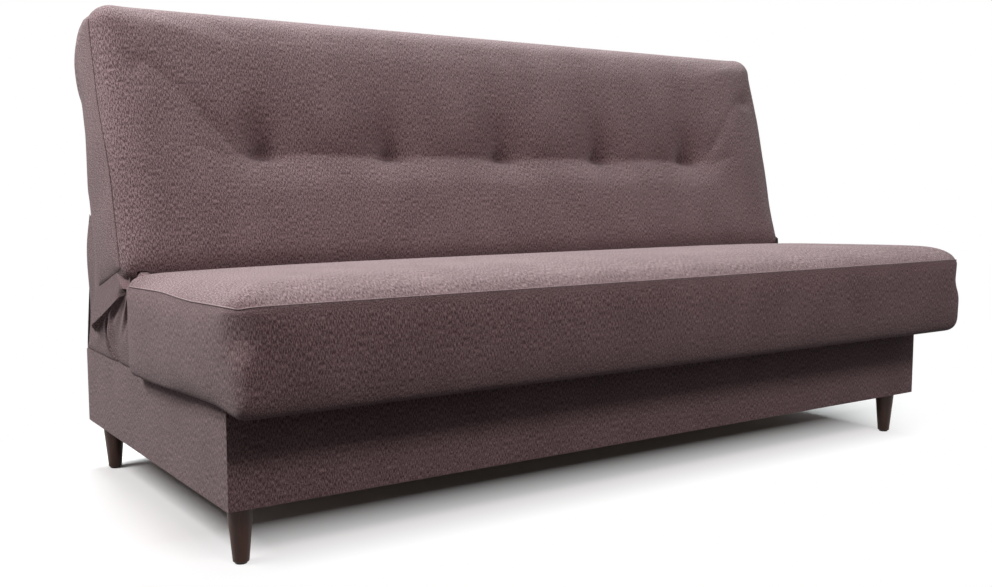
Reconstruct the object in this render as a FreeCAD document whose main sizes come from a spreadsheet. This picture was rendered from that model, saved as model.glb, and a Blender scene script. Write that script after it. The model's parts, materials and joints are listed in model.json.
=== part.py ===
import FreeCAD, Part
import os
import re
from math import cos, radians, sin

import Sketcher

# A sofa bed: a seat cushion and a back cushion hinged like a book above a bedding box.
# Millimetres. X runs along the width, the front faces -Y, Z is up from the floor.
# The origin lies on the floor, at the centre of the overall width and depth.

doc = FreeCAD.newDocument("SofaBed")
sheet = doc.addObject("Spreadsheet::Sheet", "sizes")

# Driving sizes
SIZES = (
    # Overall form
    ("mattress_width", 1900),
    ("mattress_depth", 577),
    ("mattress_thickness", 184),
    ("seat_tilt", 1.8),
    ("back_lean", 16),
    ("front_overhang", 116),
    ("side_overhang", 30),
    ("joint_gap", 3),
    ("rest_gap", 0.4),
    # Bedding box
    ("box_depth", 870),
    ("box_height", 164),
    ("board", 16),
    ("cover", 1.5),
    ("panel", 4),
    ("bearer_width", 45),
    ("bearer_height", 20),
    ("bearer_spacing", 520),
    ("block_side", 66),
    ("block_height", 90),
    # Legs
    ("leg_height", 107),
    ("leg_top_radius", 23.5),
    ("leg_foot_radius", 14),
    ("leg_side_inset", 41),
    ("leg_end_inset", 53),
    ("glide_radius", 10.5),
    ("glide_height", 3),
    ("stud_radius", 4),
    ("stud_in_leg", 30),
    ("stud_in_block", 45),
    ("hole_gap", 0.1),
    # Cushion form
    ("seam_drop", 17),
    ("crown", 20),
    ("corner_round", 55),
    ("face_bulge", 5),
    ("shoulder", 56),
    ("shoulder_rise", 9),
    ("joint_shoulder", 32),
    ("joint_rise", 12),
    ("joint_drop", 14),
    ("joint_draw", 12),
    ("seat_foot_round", 32),
    ("back_top_round", 84),
    ("back_seam_drop", 40),
    ("back_rear_bulge", 16),
    ("rear_bulge_length", 78),
    ("rear_bulge_margin", 20),
    ("cloth", 1),
    # Tufts in the back
    ("tuft_height", 266),
    ("tuft_spacing", 311),
    ("tuft_depth", 48),
    ("tuft_mouth_radius", 52),
    ("tuft_floor_radius", 6),
    ("valley_drop", 18),
    ("twine_radius", 1.2),
    ("toggle_radius", 3),
    ("toggle_length", 26),
    # Cushion frames
    ("rail_height", 80),
    ("rail_thickness", 22),
    ("frame_inset", 17),
    ("frame_margin", 20),
    ("slot_depth", 68),
    ("slot_margin", 9.5),
    ("slot_clearance", 4),
    ("slot_mouth_height", 34),
    ("wire", 4),
    ("felt", 4),
    ("strap_width", 58),
    ("strap_thickness", 2),
    ("strap_spacing", 196),
    ("spring_width", 60),
    ("spring_pitch", 78),
    ("spring_spacing", 236),
    # Hinge plates and arms
    ("plate", 4),
    ("plate_gap", 0.5),
    ("plate_eye_radius", 15),
    ("arm_eye_radius", 14),
    ("pivot_radius", 5),
    ("running_gap", 0.05),
    ("pivot_head_radius", 9),
    ("pivot_head_height", 5),
    ("foot_plate_height", 92),
    ("foot_plate_front", 62),
    ("foot_plate_rear", 96),
    ("plate_front", 56),
    ("plate_rear", 30),
    ("plate_margin", 12),
    ("arm_width", 30),
    ("arm_reach", 205),
    ("arm_drop_gap", 3),
    ("screw_radius", 2.5),
    ("screw_head_radius", 5),
    ("screw_head_height", 2.4),
    ("screw_length", 13),
    # Ratchet and pawl
    ("sector_radius", 42),
    ("sector_fall", 3.4),
    ("sector_start", -176),
    ("sector_sweep", 84),
    ("tooth_depth", 3),
    ("tooth_count", 8),
    ("pawl_angle", -100),
    ("pawl_thickness", 3.4),
    ("pawl_hub_radius", 8),
    ("pawl_pin_radius", 3),
    ("pawl_pin_setback", 44),
    ("pawl_pin_drop", 46),
    ("pawl_ride", 0.4),
    ("pawl_nose", 9),
    ("spring_leaf", 0.8),
    ("spring_leaf_width", 3),
    ("spring_drop", 26),
    # Loose cloths
    ("skirt_rise", 128),
    ("skirt_cloth", 1.2),
    ("skirt_inset", 3),
    ("gusset_overlap", 52),
)

# Sizes that follow from the driving ones
DERIVED = {
    "box_width": "mattress_width - 2 * side_overhang",
    "front_y": "-(front_overhang + box_depth) / 2",
    "box_front": "front_y + front_overhang",
    "box_rear": "box_front + box_depth",
    "pivot_y": "front_y + mattress_depth * cos(seat_tilt)",
    "box_top": "leg_height + box_height",
    "pivot_z": "box_top + rest_gap + mattress_thickness / cos(seat_tilt)",
    "board_x": "box_width / 2 - cover",
    "board_front": "box_front + cover",
    "board_rear": "box_rear - cover",
    "inner_x": "board_x - board",
    "inner_front": "board_front + board",
    "inner_rear": "board_rear - board",
    "plate_x": "inner_x - plate",
    "back_arm_x": "plate_x + plate + plate_gap",
    "seat_arm_x": "back_arm_x + plate + plate_gap",
    "back_rail_x": "back_arm_x + plate",
    "seat_rail_x": "seat_arm_x + plate",
    "pivot_end_x": "seat_rail_x + plate_gap",
    "slot_in_x": "plate_x - slot_margin",
    "slot_out_x": "pivot_end_x + slot_margin",
    "rail_low": "cloth - mattress_thickness",
    "rail_top": "rail_low + rail_height",
    "seat_frame_end": "mattress_depth - seat_foot_round - frame_margin",
    "back_frame_end": "mattress_depth - back_top_round - frame_margin",
    "back_knee": "mattress_depth - back_top_round - rear_bulge_length",
    "back_cloth_end": "back_knee - rear_bulge_margin",
    "seat_cloth_end": "seat_frame_end",
    "arm_top": "rail_top - arm_drop_gap",
    "arm_low": "arm_top - arm_width",
    "leg_x": "box_width / 2 - leg_side_inset",
    "leg_front": "box_front + leg_end_inset",
    "leg_rear": "box_rear - leg_end_inset",
    "panel_low": "leg_height + bearer_height",
    "fold_angle": "90 - back_lean",
}

# The two cushions are drawn as the flat bed: the seat runs to -Y, the back to +Y
HALVES = {
    "seat": {"run": -1, "turn": "-seat_tilt", "rail_x": "seat_rail_x", "arm_x": "seat_arm_x"},
    "back": {"run": 1, "turn": "fold_angle", "rail_x": "back_rail_x", "arm_x": "back_arm_x"},
}
SIDES = {"left": -1, "right": 1}
HEX_COUNT = 6
SHANK_COUNT = 8
GLIDE_COUNT = 12

NAMES = []
for row, (name, number) in enumerate(SIZES, 1):
    sheet.set(f"A{row}", name)
    sheet.set(f"B{row}", str(number))
    sheet.setAlias(f"B{row}", name)
    NAMES.append(name)
doc.recompute()

parts = []


def full(text):
    """A size formula written out in the sheet's cells."""

    def swap(match):
        word = match.group(0)
        if word in DERIVED:
            return "(" + full(DERIVED[word]) + ")"
        if word in NAMES:
            return "sizes." + word
        return word

    return re.sub(r"[a-z][a-z_]*", swap, str(text))


def value(text):
    """The number that a size formula gives now."""
    return float(sheet.evalExpression(full(text)))


def bind(thing, **formulas):
    """Tie an object's properties to size formulas."""
    for name, text in formulas.items():
        thing.setExpression(name, full(text))


def place(thing, x="0", y="0", z="0", turn=None):
    """Put an object at a place, and turn it about its X axis if asked."""
    if turn is not None:
        thing.Placement = FreeCAD.Placement(
            FreeCAD.Vector(), FreeCAD.Rotation(FreeCAD.Vector(1, 0, 0), 1)
        )
        thing.setExpression("Placement.Rotation.Angle", full(turn))
    move(thing, x, y, z)


def keep(thing, label):
    """Name a sub-part and list it for writing."""
    thing.Label = label
    parts.append(thing)
    return thing


def keep_in_half(thing, label, half, x="0"):
    """Name a sub-part of a cushion and put it at the hinge line, at rest."""
    place(thing, x, "pivot_y", "pivot_z", HALVES[half]["turn"])
    return keep(thing, label)


def span(sign, low, high):
    """A stretch along an axis, or its mirror image."""
    if sign > 0:
        return low, high
    return f"-({high})", f"-({low})"


def block(name, x, y, z):
    """A box between two formulas along each axis."""
    box = doc.addObject("Part::Box", name)
    bind(
        box,
        Length=f"({x[1]}) - ({x[0]})",
        Width=f"({y[1]}) - ({y[0]})",
        Height=f"({z[1]}) - ({z[0]})",
    )
    place(box, x[0], y[0], z[0])
    return box


def lay_along_x(thing):
    """Turn a shape that is drawn along Z so that it lies along X."""
    turn = FreeCAD.Rotation(FreeCAD.Vector(0, 1, 0), 90)
    thing.Placement = FreeCAD.Placement(FreeCAD.Vector(), turn)


def move(thing, x, y, z):
    """Tie an object's place to size formulas."""
    for letter, text in zip("xyz", (x, y, z)):
        thing.setExpression("Placement.Base." + letter, full(text))


def rod(name, axis, radius, length, x="0", y="0", z="0", sides=None):
    """A cylinder along X or Z from a place, or a prism where a small one needs few faces."""
    thing = doc.addObject("Part::Cylinder" if sides is None else "Part::Prism", name)
    if sides is None:
        bind(thing, Radius=radius, Height=length)
    else:
        thing.Polygon = sides
        bind(thing, Circumradius=radius, Height=length)
    if axis == "X":
        lay_along_x(thing)
    move(thing, x, y, z)
    return thing


def group(name, pieces):
    """Separate solids as one object."""
    compound = doc.addObject("Part::Compound", name)
    compound.Links = pieces
    return compound


def cut(name, base, tools):
    """An object less its cutting tools."""
    result = doc.addObject("Part::Cut", name)
    result.Base = base
    result.Tool = tools[0] if len(tools) == 1 else group(name + "_tools", tools)
    return result


def body(name):
    return doc.addObject("PartDesign::Body", name)


def sketch_on(owner, name, plane):
    """A sketch on one of a body's own origin planes."""
    sketch = owner.newObject("Sketcher::SketchObject", name)
    face = [f for f in owner.Origin.OriginFeatures if f.Role == plane][0]
    sketch.AttachmentSupport = [(face, "")]
    sketch.MapMode = "FlatFace"
    return sketch


def outline(owner, name, plane, points):
    """A closed outline whose corners are tied to size formulas."""
    sketch = sketch_on(owner, name, plane)
    places = [(value(a), value(b)) for a, b in points]
    count = len(points)
    for i in range(count):
        start = FreeCAD.Vector(*places[i], 0)
        end = FreeCAD.Vector(*places[(i + 1) % count], 0)
        sketch.addGeometry(Part.LineSegment(start, end))
    for i in range(count):
        sketch.addConstraint(Sketcher.Constraint("Coincident", i, 2, (i + 1) % count, 1))
    for i in range(count):
        for kind, text, number in zip(("DistanceX", "DistanceY"), points[i], places[i]):
            k = sketch.addConstraint(Sketcher.Constraint(kind, -1, 1, i, 1, number))
            sketch.setExpression(f"Constraints[{k}]", full(text))
    return sketch


def circles(owner, name, plane, rings):
    """Circles whose centres and radii are tied to size formulas."""
    sketch = sketch_on(owner, name, plane)
    for i, (a, b, radius) in enumerate(rings):
        centre = FreeCAD.Vector(value(a), value(b), 0)
        sketch.addGeometry(Part.Circle(centre, FreeCAD.Vector(0, 0, 1), value(radius)))
        settings = (
            (Sketcher.Constraint("DistanceX", -1, 1, i, 3, centre.x), a),
            (Sketcher.Constraint("DistanceY", -1, 1, i, 3, centre.y), b),
            (Sketcher.Constraint("Radius", i, value(radius)), radius),
        )
        for constraint, text in settings:
            k = sketch.addConstraint(constraint)
            sketch.setExpression(f"Constraints[{k}]", full(text))
    return sketch


def pad(owner, name, sketch, length, both_ways=False):
    """Thicken a sketch along its normal."""
    feature = owner.newObject("PartDesign::Pad", name)
    feature.Profile = sketch
    bind(feature, Length=length)
    if both_ways:
        feature.SideType = "Symmetric"
    owner.Tip = feature
    doc.recompute()
    return feature


def pocket_through(owner, name, sketch):
    """Cut a sketch through the whole body, both ways."""
    feature = owner.newObject("PartDesign::Pocket", name)
    feature.Profile = sketch
    feature.Type = "ThroughAll"
    feature.SideType = "Symmetric"
    before = owner.Shape.Volume
    owner.Tip = feature
    doc.recompute()
    if owner.Shape.Volume >= before:
        raise RuntimeError(f"{name} cuts nothing")
    return feature


def revolve(owner, name, sketch):
    """Turn a sketch about its own vertical axis."""
    feature = owner.newObject("PartDesign::Revolution", name)
    feature.Profile = sketch
    feature.ReferenceAxis = (sketch, ["V_Axis"])
    feature.Angle = 360
    owner.Tip = feature
    doc.recompute()
    return feature


def round_edges(owner, name, radius, chosen):
    """Round the edges that a test picks."""
    base = owner.Tip
    names = [f"Edge{i}" for i, edge in enumerate(base.Shape.Edges, 1) if chosen(edge)]
    feature = owner.newObject("PartDesign::Fillet", name)
    feature.Base = (base, names)
    bind(feature, Radius=radius)
    owner.Tip = feature
    doc.recompute()
    return feature


def slope_top(y):
    """The height of the box's sloping top edge at a depth."""
    return f"box_top + (pivot_y - ({y})) * tan(seat_tilt)"


# Bedding box
def screw_bores(name, x, spots):
    """Bores for screws that pass through or into a piece, between two places along X."""
    length = f"{x[1]} - ({x[0]})"
    return [
        rod(f"{name}_{number}", "X", "screw_radius + hole_gap", length, x[0], y, z, SHANK_COUNT)
        for number, (y, z) in enumerate(spots)
    ]


def side_outline(owner, name, front, rear):
    """A box side: level behind the hinge line, rising to the front with the seat."""
    points = (
        (front, "leg_height"),
        (rear, "leg_height"),
        (rear, "box_top"),
        ("pivot_y", "box_top"),
        (front, slope_top(front)),
    )
    return outline(owner, name, "YZ_Plane", points)


def foot_screw_spots():
    """Where the foot of a hinge plate is screwed to its board."""
    rows = ("box_top - 2 * plate_margin", "box_top - foot_plate_height + plate_margin")
    columns = (
        "pivot_y - foot_plate_front + plate_margin",
        "pivot_y + foot_plate_rear - plate_margin",
    )
    return [(y, z) for z in rows for y in columns]


def make_box():
    ends = {
        "front": (("board_front", "inner_front"), slope_top("inner_front")),
        "rear": (("inner_rear", "board_rear"), "box_top"),
    }
    for end, (y, top) in ends.items():
        keep(
            block(f"box_{end}", ("-board_x", "board_x"), y, ("leg_height", top)),
            f"box_{end}_board",
        )
    for side, sign in SIDES.items():
        owner = body(f"box_{side}")
        sketch = side_outline(owner, f"box_{side}_outline", "inner_front", "inner_rear")
        pad(owner, f"box_{side}_pad", sketch, "board")
        place(owner, span(sign, "inner_x", "board_x")[0])
        bore_x = span(sign, "inner_x", "inner_x + screw_length - plate")
        bores = screw_bores(f"box_{side}_bore", bore_x, foot_screw_spots())
        keep(cut(f"box_{side}_drilled", owner, bores), f"box_{side}_board")

    owner = body("box_skin")
    sketch = side_outline(owner, "box_skin_outline", "box_front", "box_rear")
    pad(owner, "box_skin_pad", sketch, "box_width", both_ways=True)
    inside = (
        ("-board_x", "board_front"),
        ("board_x", "board_front"),
        ("board_x", "board_rear"),
        ("-board_x", "board_rear"),
    )
    pocket_through(owner, "box_skin_inside", outline(owner, "box_skin_in", "XY_Plane", inside))
    keep(owner, "box_cover")

    bearers = []
    for number, shift in enumerate((-1, 0, 1)):
        middle = f"{shift} * bearer_spacing"
        x = (f"{middle} - bearer_width / 2", f"{middle} + bearer_width / 2")
        depth = ("inner_front", "inner_rear")
        bearers.append(block(f"bearer_{number}", x, depth, ("leg_height", "panel_low")))
    keep(group("bearers", bearers), "bottom_bearers")

    corners = []
    notches = []
    for side, sign in SIDES.items():
        for end, y in (
            ("front", ("inner_front", "inner_front + block_side")),
            ("rear", ("inner_rear - block_side", "inner_rear")),
        ):
            x = span(sign, "inner_x - block_side", "inner_x")
            corner = block(f"block_{side}_{end}", x, y, ("leg_height", "leg_height + block_height"))
            bore = rod(
                f"block_bore_{side}_{end}",
                "Z",
                "stud_radius + hole_gap",
                "block_height",
                f"{sign} * leg_x",
                f"leg_{end}",
                "leg_height",
                SHANK_COUNT,
            )
            corners.append(cut(f"corner_{side}_{end}", corner, [bore]))
            notches.append(block(f"notch_{side}_{end}", x, y, ("panel_low", "panel_low + panel")))
    keep(group("blocks", corners), "corner_blocks")
    sheet_stock = block(
        "bottom",
        ("-inner_x", "inner_x"),
        ("inner_front", "inner_rear"),
        ("panel_low", "panel_low + panel"),
    )
    keep(cut("bottom_cut", sheet_stock, notches), "box_bottom_panel")


# Legs
def make_legs():
    studs = []
    glides = []
    for end in ("front", "rear"):
        pair = []
        for side, sign in SIDES.items():
            owner = body(f"leg_{end}_{side}")
            profile = (
                ("0", "glide_height"),
                ("leg_foot_radius", "glide_height"),
                ("leg_top_radius", "leg_height"),
                ("0", "leg_height"),
            )
            sketch = outline(owner, f"leg_{end}_{side}_profile", "XZ_Plane", profile)
            revolve(owner, f"leg_{end}_{side}_turned", sketch)
            x = f"{sign} * leg_x"
            y = f"leg_{end}"
            place(owner, x, y)
            stud_low = "leg_height - stud_in_leg"
            at = (x, y, stud_low, SHANK_COUNT)
            bore = rod(f"leg_bore_{end}_{side}", "Z", "stud_radius + hole_gap", "stud_in_leg", *at)
            pair.append(cut(f"leg_bored_{end}_{side}", owner, [bore]))
            length = "stud_in_leg + stud_in_block"
            studs.append(rod(f"stud_{end}_{side}", "Z", "stud_radius", length, *at))
            at = (x, y, "0", GLIDE_COUNT)
            glides.append(rod(f"glide_{end}_{side}", "Z", "glide_radius", "glide_height", *at))
        keep(group(f"legs_{end}", pair), f"{end}_legs")
    keep(group("studs", studs), "leg_studs")
    keep(group("glides", glides), "leg_glides")


# Cushion forms
def cushion_section(half, x, draw, inset):
    """One cross section of a cushion at a place along its width.

    draw is 0 over the main length and 1 at the end face, where the sides are drawn in.
    inset shrinks the form by the cover that lies on it.
    """
    run = HALVES[half]["run"]
    near_sink_share = 0.9
    low = value("-mattress_thickness") + inset * value("cloth / cover")
    far = value("mattress_depth") - value("corner_round") * draw - inset
    near = value("joint_gap") + value("joint_draw") * draw + inset
    seam = -value("seam_drop")

    def top(height):
        """A height on the top face, sunk towards the seam at the ends."""
        sink = near_sink_share * draw
        return height * (1 - sink) + seam * sink - inset

    foot = value("seat_foot_round") if half == "seat" else value("back_top_round")
    seam_far = seam - inset if half == "seat" else -value("back_seam_drop") - inset
    shoulder_u = far - value("shoulder")
    shoulder_n = top(value("shoulder_rise"))
    joint_u = near + value("joint_shoulder")
    joint_n = top(value("joint_rise"))
    joint_low = top(-value("joint_drop"))
    bulge = value("face_bulge") * (1 - near_sink_share * draw)
    round_share = 1 - cos(radians(45))
    arc_share = 0.72
    bulge_share = 0.75

    def at(u, n):
        return FreeCAD.Vector(x, run * u, n)

    def arc(start, middle, end):
        return Part.Arc(at(*start), at(*middle), at(*end)).toShape()

    def line(start, end):
        return Part.LineSegment(at(*start), at(*end)).toShape()

    rear_bulge = 0 if half == "seat" else value("back_rear_bulge") * (1 - near_sink_share * draw)
    heel = (near, low)
    toe = (far - foot, low - rear_bulge)
    face_low = (far, low + foot)
    toe_middle = (
        far - foot * round_share,
        toe[1] + (face_low[1] - toe[1]) * round_share,
    )
    face_top = (far, seam_far)
    face_middle = (far + bulge, (face_low[1] + seam_far) / 2)
    shoulder = (shoulder_u, shoulder_n)
    shoulder_middle = (
        far - value("shoulder") * (1 - arc_share),
        seam_far + (shoulder_n - seam_far) * arc_share,
    )
    joint = (joint_u, joint_n)
    joint_middle = (
        near + value("joint_shoulder") * (1 - arc_share),
        joint_low + (joint_n - joint_low) * arc_share,
    )
    joint_foot = (near, joint_low)

    if half == "seat":
        edges = [line(heel, toe)]
    else:
        knee = (toe[0] - value("rear_bulge_length"), low)
        knee_middle = ((knee[0] + toe[0]) / 2, low - rear_bulge * bulge_share)
        edges = [line(heel, knee), arc(knee, knee_middle, toe)]
    edges += [
        arc(toe, toe_middle, face_low),
        arc(face_low, face_middle, face_top),
        arc(face_top, shoulder_middle, shoulder),
    ]
    crest = top(value("crown"))
    if half == "seat":
        edges.append(arc(shoulder, ((shoulder_u + joint_u) / 2, crest), joint))
    else:
        valley = (value("tuft_height"), top(value("crown - valley_drop")))
        edges.append(arc(shoulder, ((shoulder_u + valley[0]) / 2, crest), valley))
        edges.append(arc(valley, ((valley[0] + joint_u) / 2, crest), joint))
    edges.append(arc(joint, joint_middle, joint_foot))
    edges.append(line(joint_foot, heel))
    return Part.Wire(edges)


def cushion_solid(half, inset):
    """The whole cushion: sections that draw in around each end corner."""
    half_width = value("mattress_width / 2") - inset
    rounding = value("corner_round")
    corner_steps = (0, 32, 62, 90)
    stations = []
    for angle in corner_steps:
        x = half_width - rounding * (1 - cos(radians(angle)))
        stations.append((x, 1 - sin(radians(angle))))
    sections = [cushion_section(half, -x, draw, inset) for x, draw in stations]
    sections += [cushion_section(half, x, draw, inset) for x, draw in reversed(stations)]
    return Part.makeLoft(sections, True, True)


def between(x, y, z):
    """A plain box shape between size formulas."""
    low = FreeCAD.Vector(value(x[0]), value(y[0]), value(z[0]))
    high = FreeCAD.Vector(value(x[1]), value(y[1]), value(z[1]))
    size = high - low
    return Part.makeBox(size.x, size.y, size.z, low)


def hinge_slots(half):
    """The two slots in a cushion that take the hinge plates and arms, in steps, narrow at the top."""
    run = HALVES[half]["run"]
    mouth = {
        "seat": "sector_radius + slot_clearance",
        "back": "arm_eye_radius + 3 * slot_clearance",
    }[half]
    steps = (
        ("plate_eye_radius + slot_clearance", ("slot_clearance", "mattress_thickness")),
        (mouth, ("-slot_mouth_height", "slot_clearance")),
        ("slot_depth", ("-2 * mattress_thickness", "-slot_mouth_height")),
    )
    slots = []
    for sign in SIDES.values():
        x = span(sign, "slot_in_x", "slot_out_x")
        slots += [between(x, span(run, f"-({depth})", depth), height) for depth, height in steps]
    return slots


def tuft_places():
    """The tufts' places along the width, from the left."""
    return [f"{step} * tuft_spacing" for step in (-2, -1, 0, 1, 2)]


def tuft_pits(inset):
    """The sewn-down pits: bells drawn through rings, from the twine's floor out to the rim."""
    floor_radius = value("tuft_floor_radius") + inset
    mouth_radius = value("tuft_mouth_radius") + inset
    floor = -value("tuft_depth") - inset
    rim = value("crown")
    ring_sides = 12
    flare_shares = ((0, 0), (0.14, 0.42), (0.42, 0.78), (1, 1))
    pits = []
    for text in tuft_places():
        rings = []
        for radius_share, height_share in flare_shares:
            radius = floor_radius + (mouth_radius - floor_radius) * radius_share
            height = floor + (rim - floor) * height_share
            corners = []
            for step in range(ring_sides + 1):
                angle = radians(360 * step / ring_sides)
                x = value(text) + radius * cos(angle)
                u = value("tuft_height") + radius * sin(angle)
                corners.append(FreeCAD.Vector(x, u, height))
            rings.append(Part.makePolygon(corners))
        pits.append(Part.makeLoft(rings, True, True))
    return pits


def twine_bores():
    """The six-sided ways of the tuft twines through the foam."""
    radius = value("twine_radius + hole_gap")
    height = value("mattress_thickness")
    bores = []
    for text in tuft_places():
        corners = []
        for step in range(HEX_COUNT + 1):
            angle = radians(360 * step / HEX_COUNT)
            x = value(text) + radius * cos(angle)
            corners.append(FreeCAD.Vector(x, value("tuft_height") + radius * sin(angle), -height))
        face = Part.Face(Part.makePolygon(corners))
        bores.append(face.extrude(FreeCAD.Vector(0, 0, height)))
    return bores


def make_cushion(half):
    """The foam, its cover and the cloth that closes the underside."""
    run = HALVES[half]["run"]
    rail_out = f"{HALVES[half]['rail_x']} + rail_thickness"
    outer = cushion_solid(half, 0)
    inner = cushion_solid(half, value("cover"))
    if half == "back":
        outer = outer.cut(tuft_pits(0))
        inner = inner.cut(tuft_pits(value("cover")))
    cloth_x = (f"-({rail_out})", rail_out)
    cloth_y = span(run, "frame_inset", f"{half}_cloth_end")
    cloth = between(cloth_x, cloth_y, ("-mattress_thickness", "rail_low"))
    layer = "felt" if half == "seat" else "0"
    support = "wire" if half == "seat" else "2 * strap_thickness"
    hollow_top = f"rail_top + {support} + {layer}"
    hollow_y = span(run, "frame_inset", f"{half}_frame_end")
    hollow = between(cloth_x, hollow_y, ("rail_low", hollow_top))
    slots = hinge_slots(half)
    shapes = {
        "foam": inner.cut([hollow] + slots),
        "cover": outer.cut([inner, cloth] + slots),
        "dust_cloth" if half == "seat" else "rear_cloth": cloth.cut(slots),
    }
    if half == "back":
        shapes["foam"] = shapes["foam"].cut(twine_bores())
    for name, shape in shapes.items():
        feature = doc.addObject("Part::Feature", f"{half}_{name}")
        feature.Shape = shape
        keep_in_half(feature, f"{half}_{name}", half)


# Cushion frames
def arm_screw_spots(half):
    """Where an arm is screwed to its end rail: along the middle of the bar."""
    run = HALVES[half]["run"]
    middle = "arm_low + arm_width / 2"
    reach = ("arm_reach - plate_margin", "arm_width + 2 * plate_margin")
    return [(f"{run} * ({text})", middle) for text in reach]


def make_frame(half):
    """Four rails and a cross rail, with the supports that carry the foam."""
    run = HALVES[half]["run"]
    rail_x = HALVES[half]["rail_x"]
    near = "lower" if half == "back" else "rear"
    far = "upper" if half == "back" else "front"
    height = ("rail_low", "rail_top")

    near_span = span(run, "slot_depth + joint_gap", "slot_depth + joint_gap + rail_thickness")
    rail = block(f"{half}_{near}_stock", (f"-({rail_x})", rail_x), near_span, height)
    notches = []
    for side, sign in SIDES.items():
        notch_x = span(sign, f"{rail_x} - plate - plate_gap - screw_head_height", rail_x)
        notch_height = ("arm_low - plate_gap", "rail_top")
        notches.append(block(f"{half}_{near}_notch_{side}", notch_x, near_span, notch_height))
    rail = cut(f"{half}_{near}_notched", rail, notches)
    keep_in_half(rail, f"{half}_{near}_rail", half)

    end = f"{half}_frame_end"
    far_span = span(run, f"{end} - rail_thickness", end)
    rail = block(f"{half}_{far}_stock", (f"-({rail_x})", rail_x), far_span, height)
    keep_in_half(group(f"{half}_{far}", [rail]), f"{half}_{far}_rail", half)

    ends = []
    for side, sign in SIDES.items():
        stock_x = span(sign, rail_x, f"{rail_x} + rail_thickness")
        stock = block(f"{half}_end_{side}", stock_x, span(run, "frame_inset", end), height)
        bore_x = span(sign, rail_x, f"{rail_x} + screw_length - plate")
        bores = screw_bores(f"{half}_end_bore_{side}", bore_x, arm_screw_spots(half))
        ends.append(cut(f"{half}_end_drilled_{side}", stock, bores))
    keep_in_half(group(f"{half}_ends", ends), f"{half}_end_rails", half)

    middle = block(
        f"{half}_middle",
        ("-rail_thickness / 2", "rail_thickness / 2"),
        span(run, "slot_depth + joint_gap + rail_thickness", f"{end} - rail_thickness"),
        ("rail_low", "rail_top - toggle_radius - toggle_length"),
    )
    keep_in_half(group(f"{half}_cross", [middle]), f"{half}_cross_rail", half)


def serpentine(x, near, far):
    """A sinuous spring: a flat wire that runs from side to side as it goes along."""
    half_wire = value("wire / 2")
    reach = value("spring_width / 2")
    steps = int((far - near) / value("spring_pitch / 2"))
    pitch = (far - near) / steps
    bevel_share = 0.3
    path = []
    for step in range(steps):
        start = near + pitch * step
        side = reach if step % 2 else -reach
        path.append((x + side, start + pitch * bevel_share))
        path.append((x + side, start + pitch * (1 - bevel_share)))
    path = [(x, near)] + path + [(x, far)]
    left = []
    right = []
    for i, (px, py) in enumerate(path):
        before = path[max(i - 1, 0)]
        after = path[min(i + 1, len(path) - 1)]
        first = FreeCAD.Vector(px - before[0], py - before[1], 0)
        second = FreeCAD.Vector(after[0] - px, after[1] - py, 0)
        if first.Length == 0:
            first = second
        if second.Length == 0:
            second = first
        first.normalize()
        second.normalize()
        mitre = FreeCAD.Vector(-first.y - second.y, first.x + second.x, 0)
        mitre.normalize()
        width = half_wire / (mitre.x * -first.y + mitre.y * first.x)
        left.append(FreeCAD.Vector(px + mitre.x * width, py + mitre.y * width, 0))
        right.append(FreeCAD.Vector(px - mitre.x * width, py - mitre.y * width, 0))
    points = left + right[::-1]
    return Part.Face(Part.makePolygon(points + points[:1]))


def make_seat_support():
    """Sinuous springs on the seat rails and the felt over them."""
    near = value("slot_depth + joint_gap + rail_thickness / 2")
    far = value("seat_frame_end - rail_thickness / 2")
    springs = []
    for step in (-3, -2, -1, 0, 1, 2, 3):
        x = step * value("spring_spacing")
        face = serpentine(x, -far, -near)
        face.translate(FreeCAD.Vector(0, 0, value("rail_top")))
        springs.append(face.extrude(FreeCAD.Vector(0, 0, value("wire"))))
    feature = doc.addObject("Part::Feature", "springs")
    feature.Shape = Part.makeCompound(springs)
    keep_in_half(feature, "seat_springs", "seat")

    felt = block(
        "felt_pad",
        ("-(seat_rail_x + rail_thickness)", "seat_rail_x + rail_thickness"),
        span(-1, "slot_depth + joint_gap", "seat_frame_end"),
        ("rail_top + wire", "rail_top + wire + felt"),
    )
    keep_in_half(group("felt_sheet", [felt]), "seat_felt", "seat")


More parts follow.
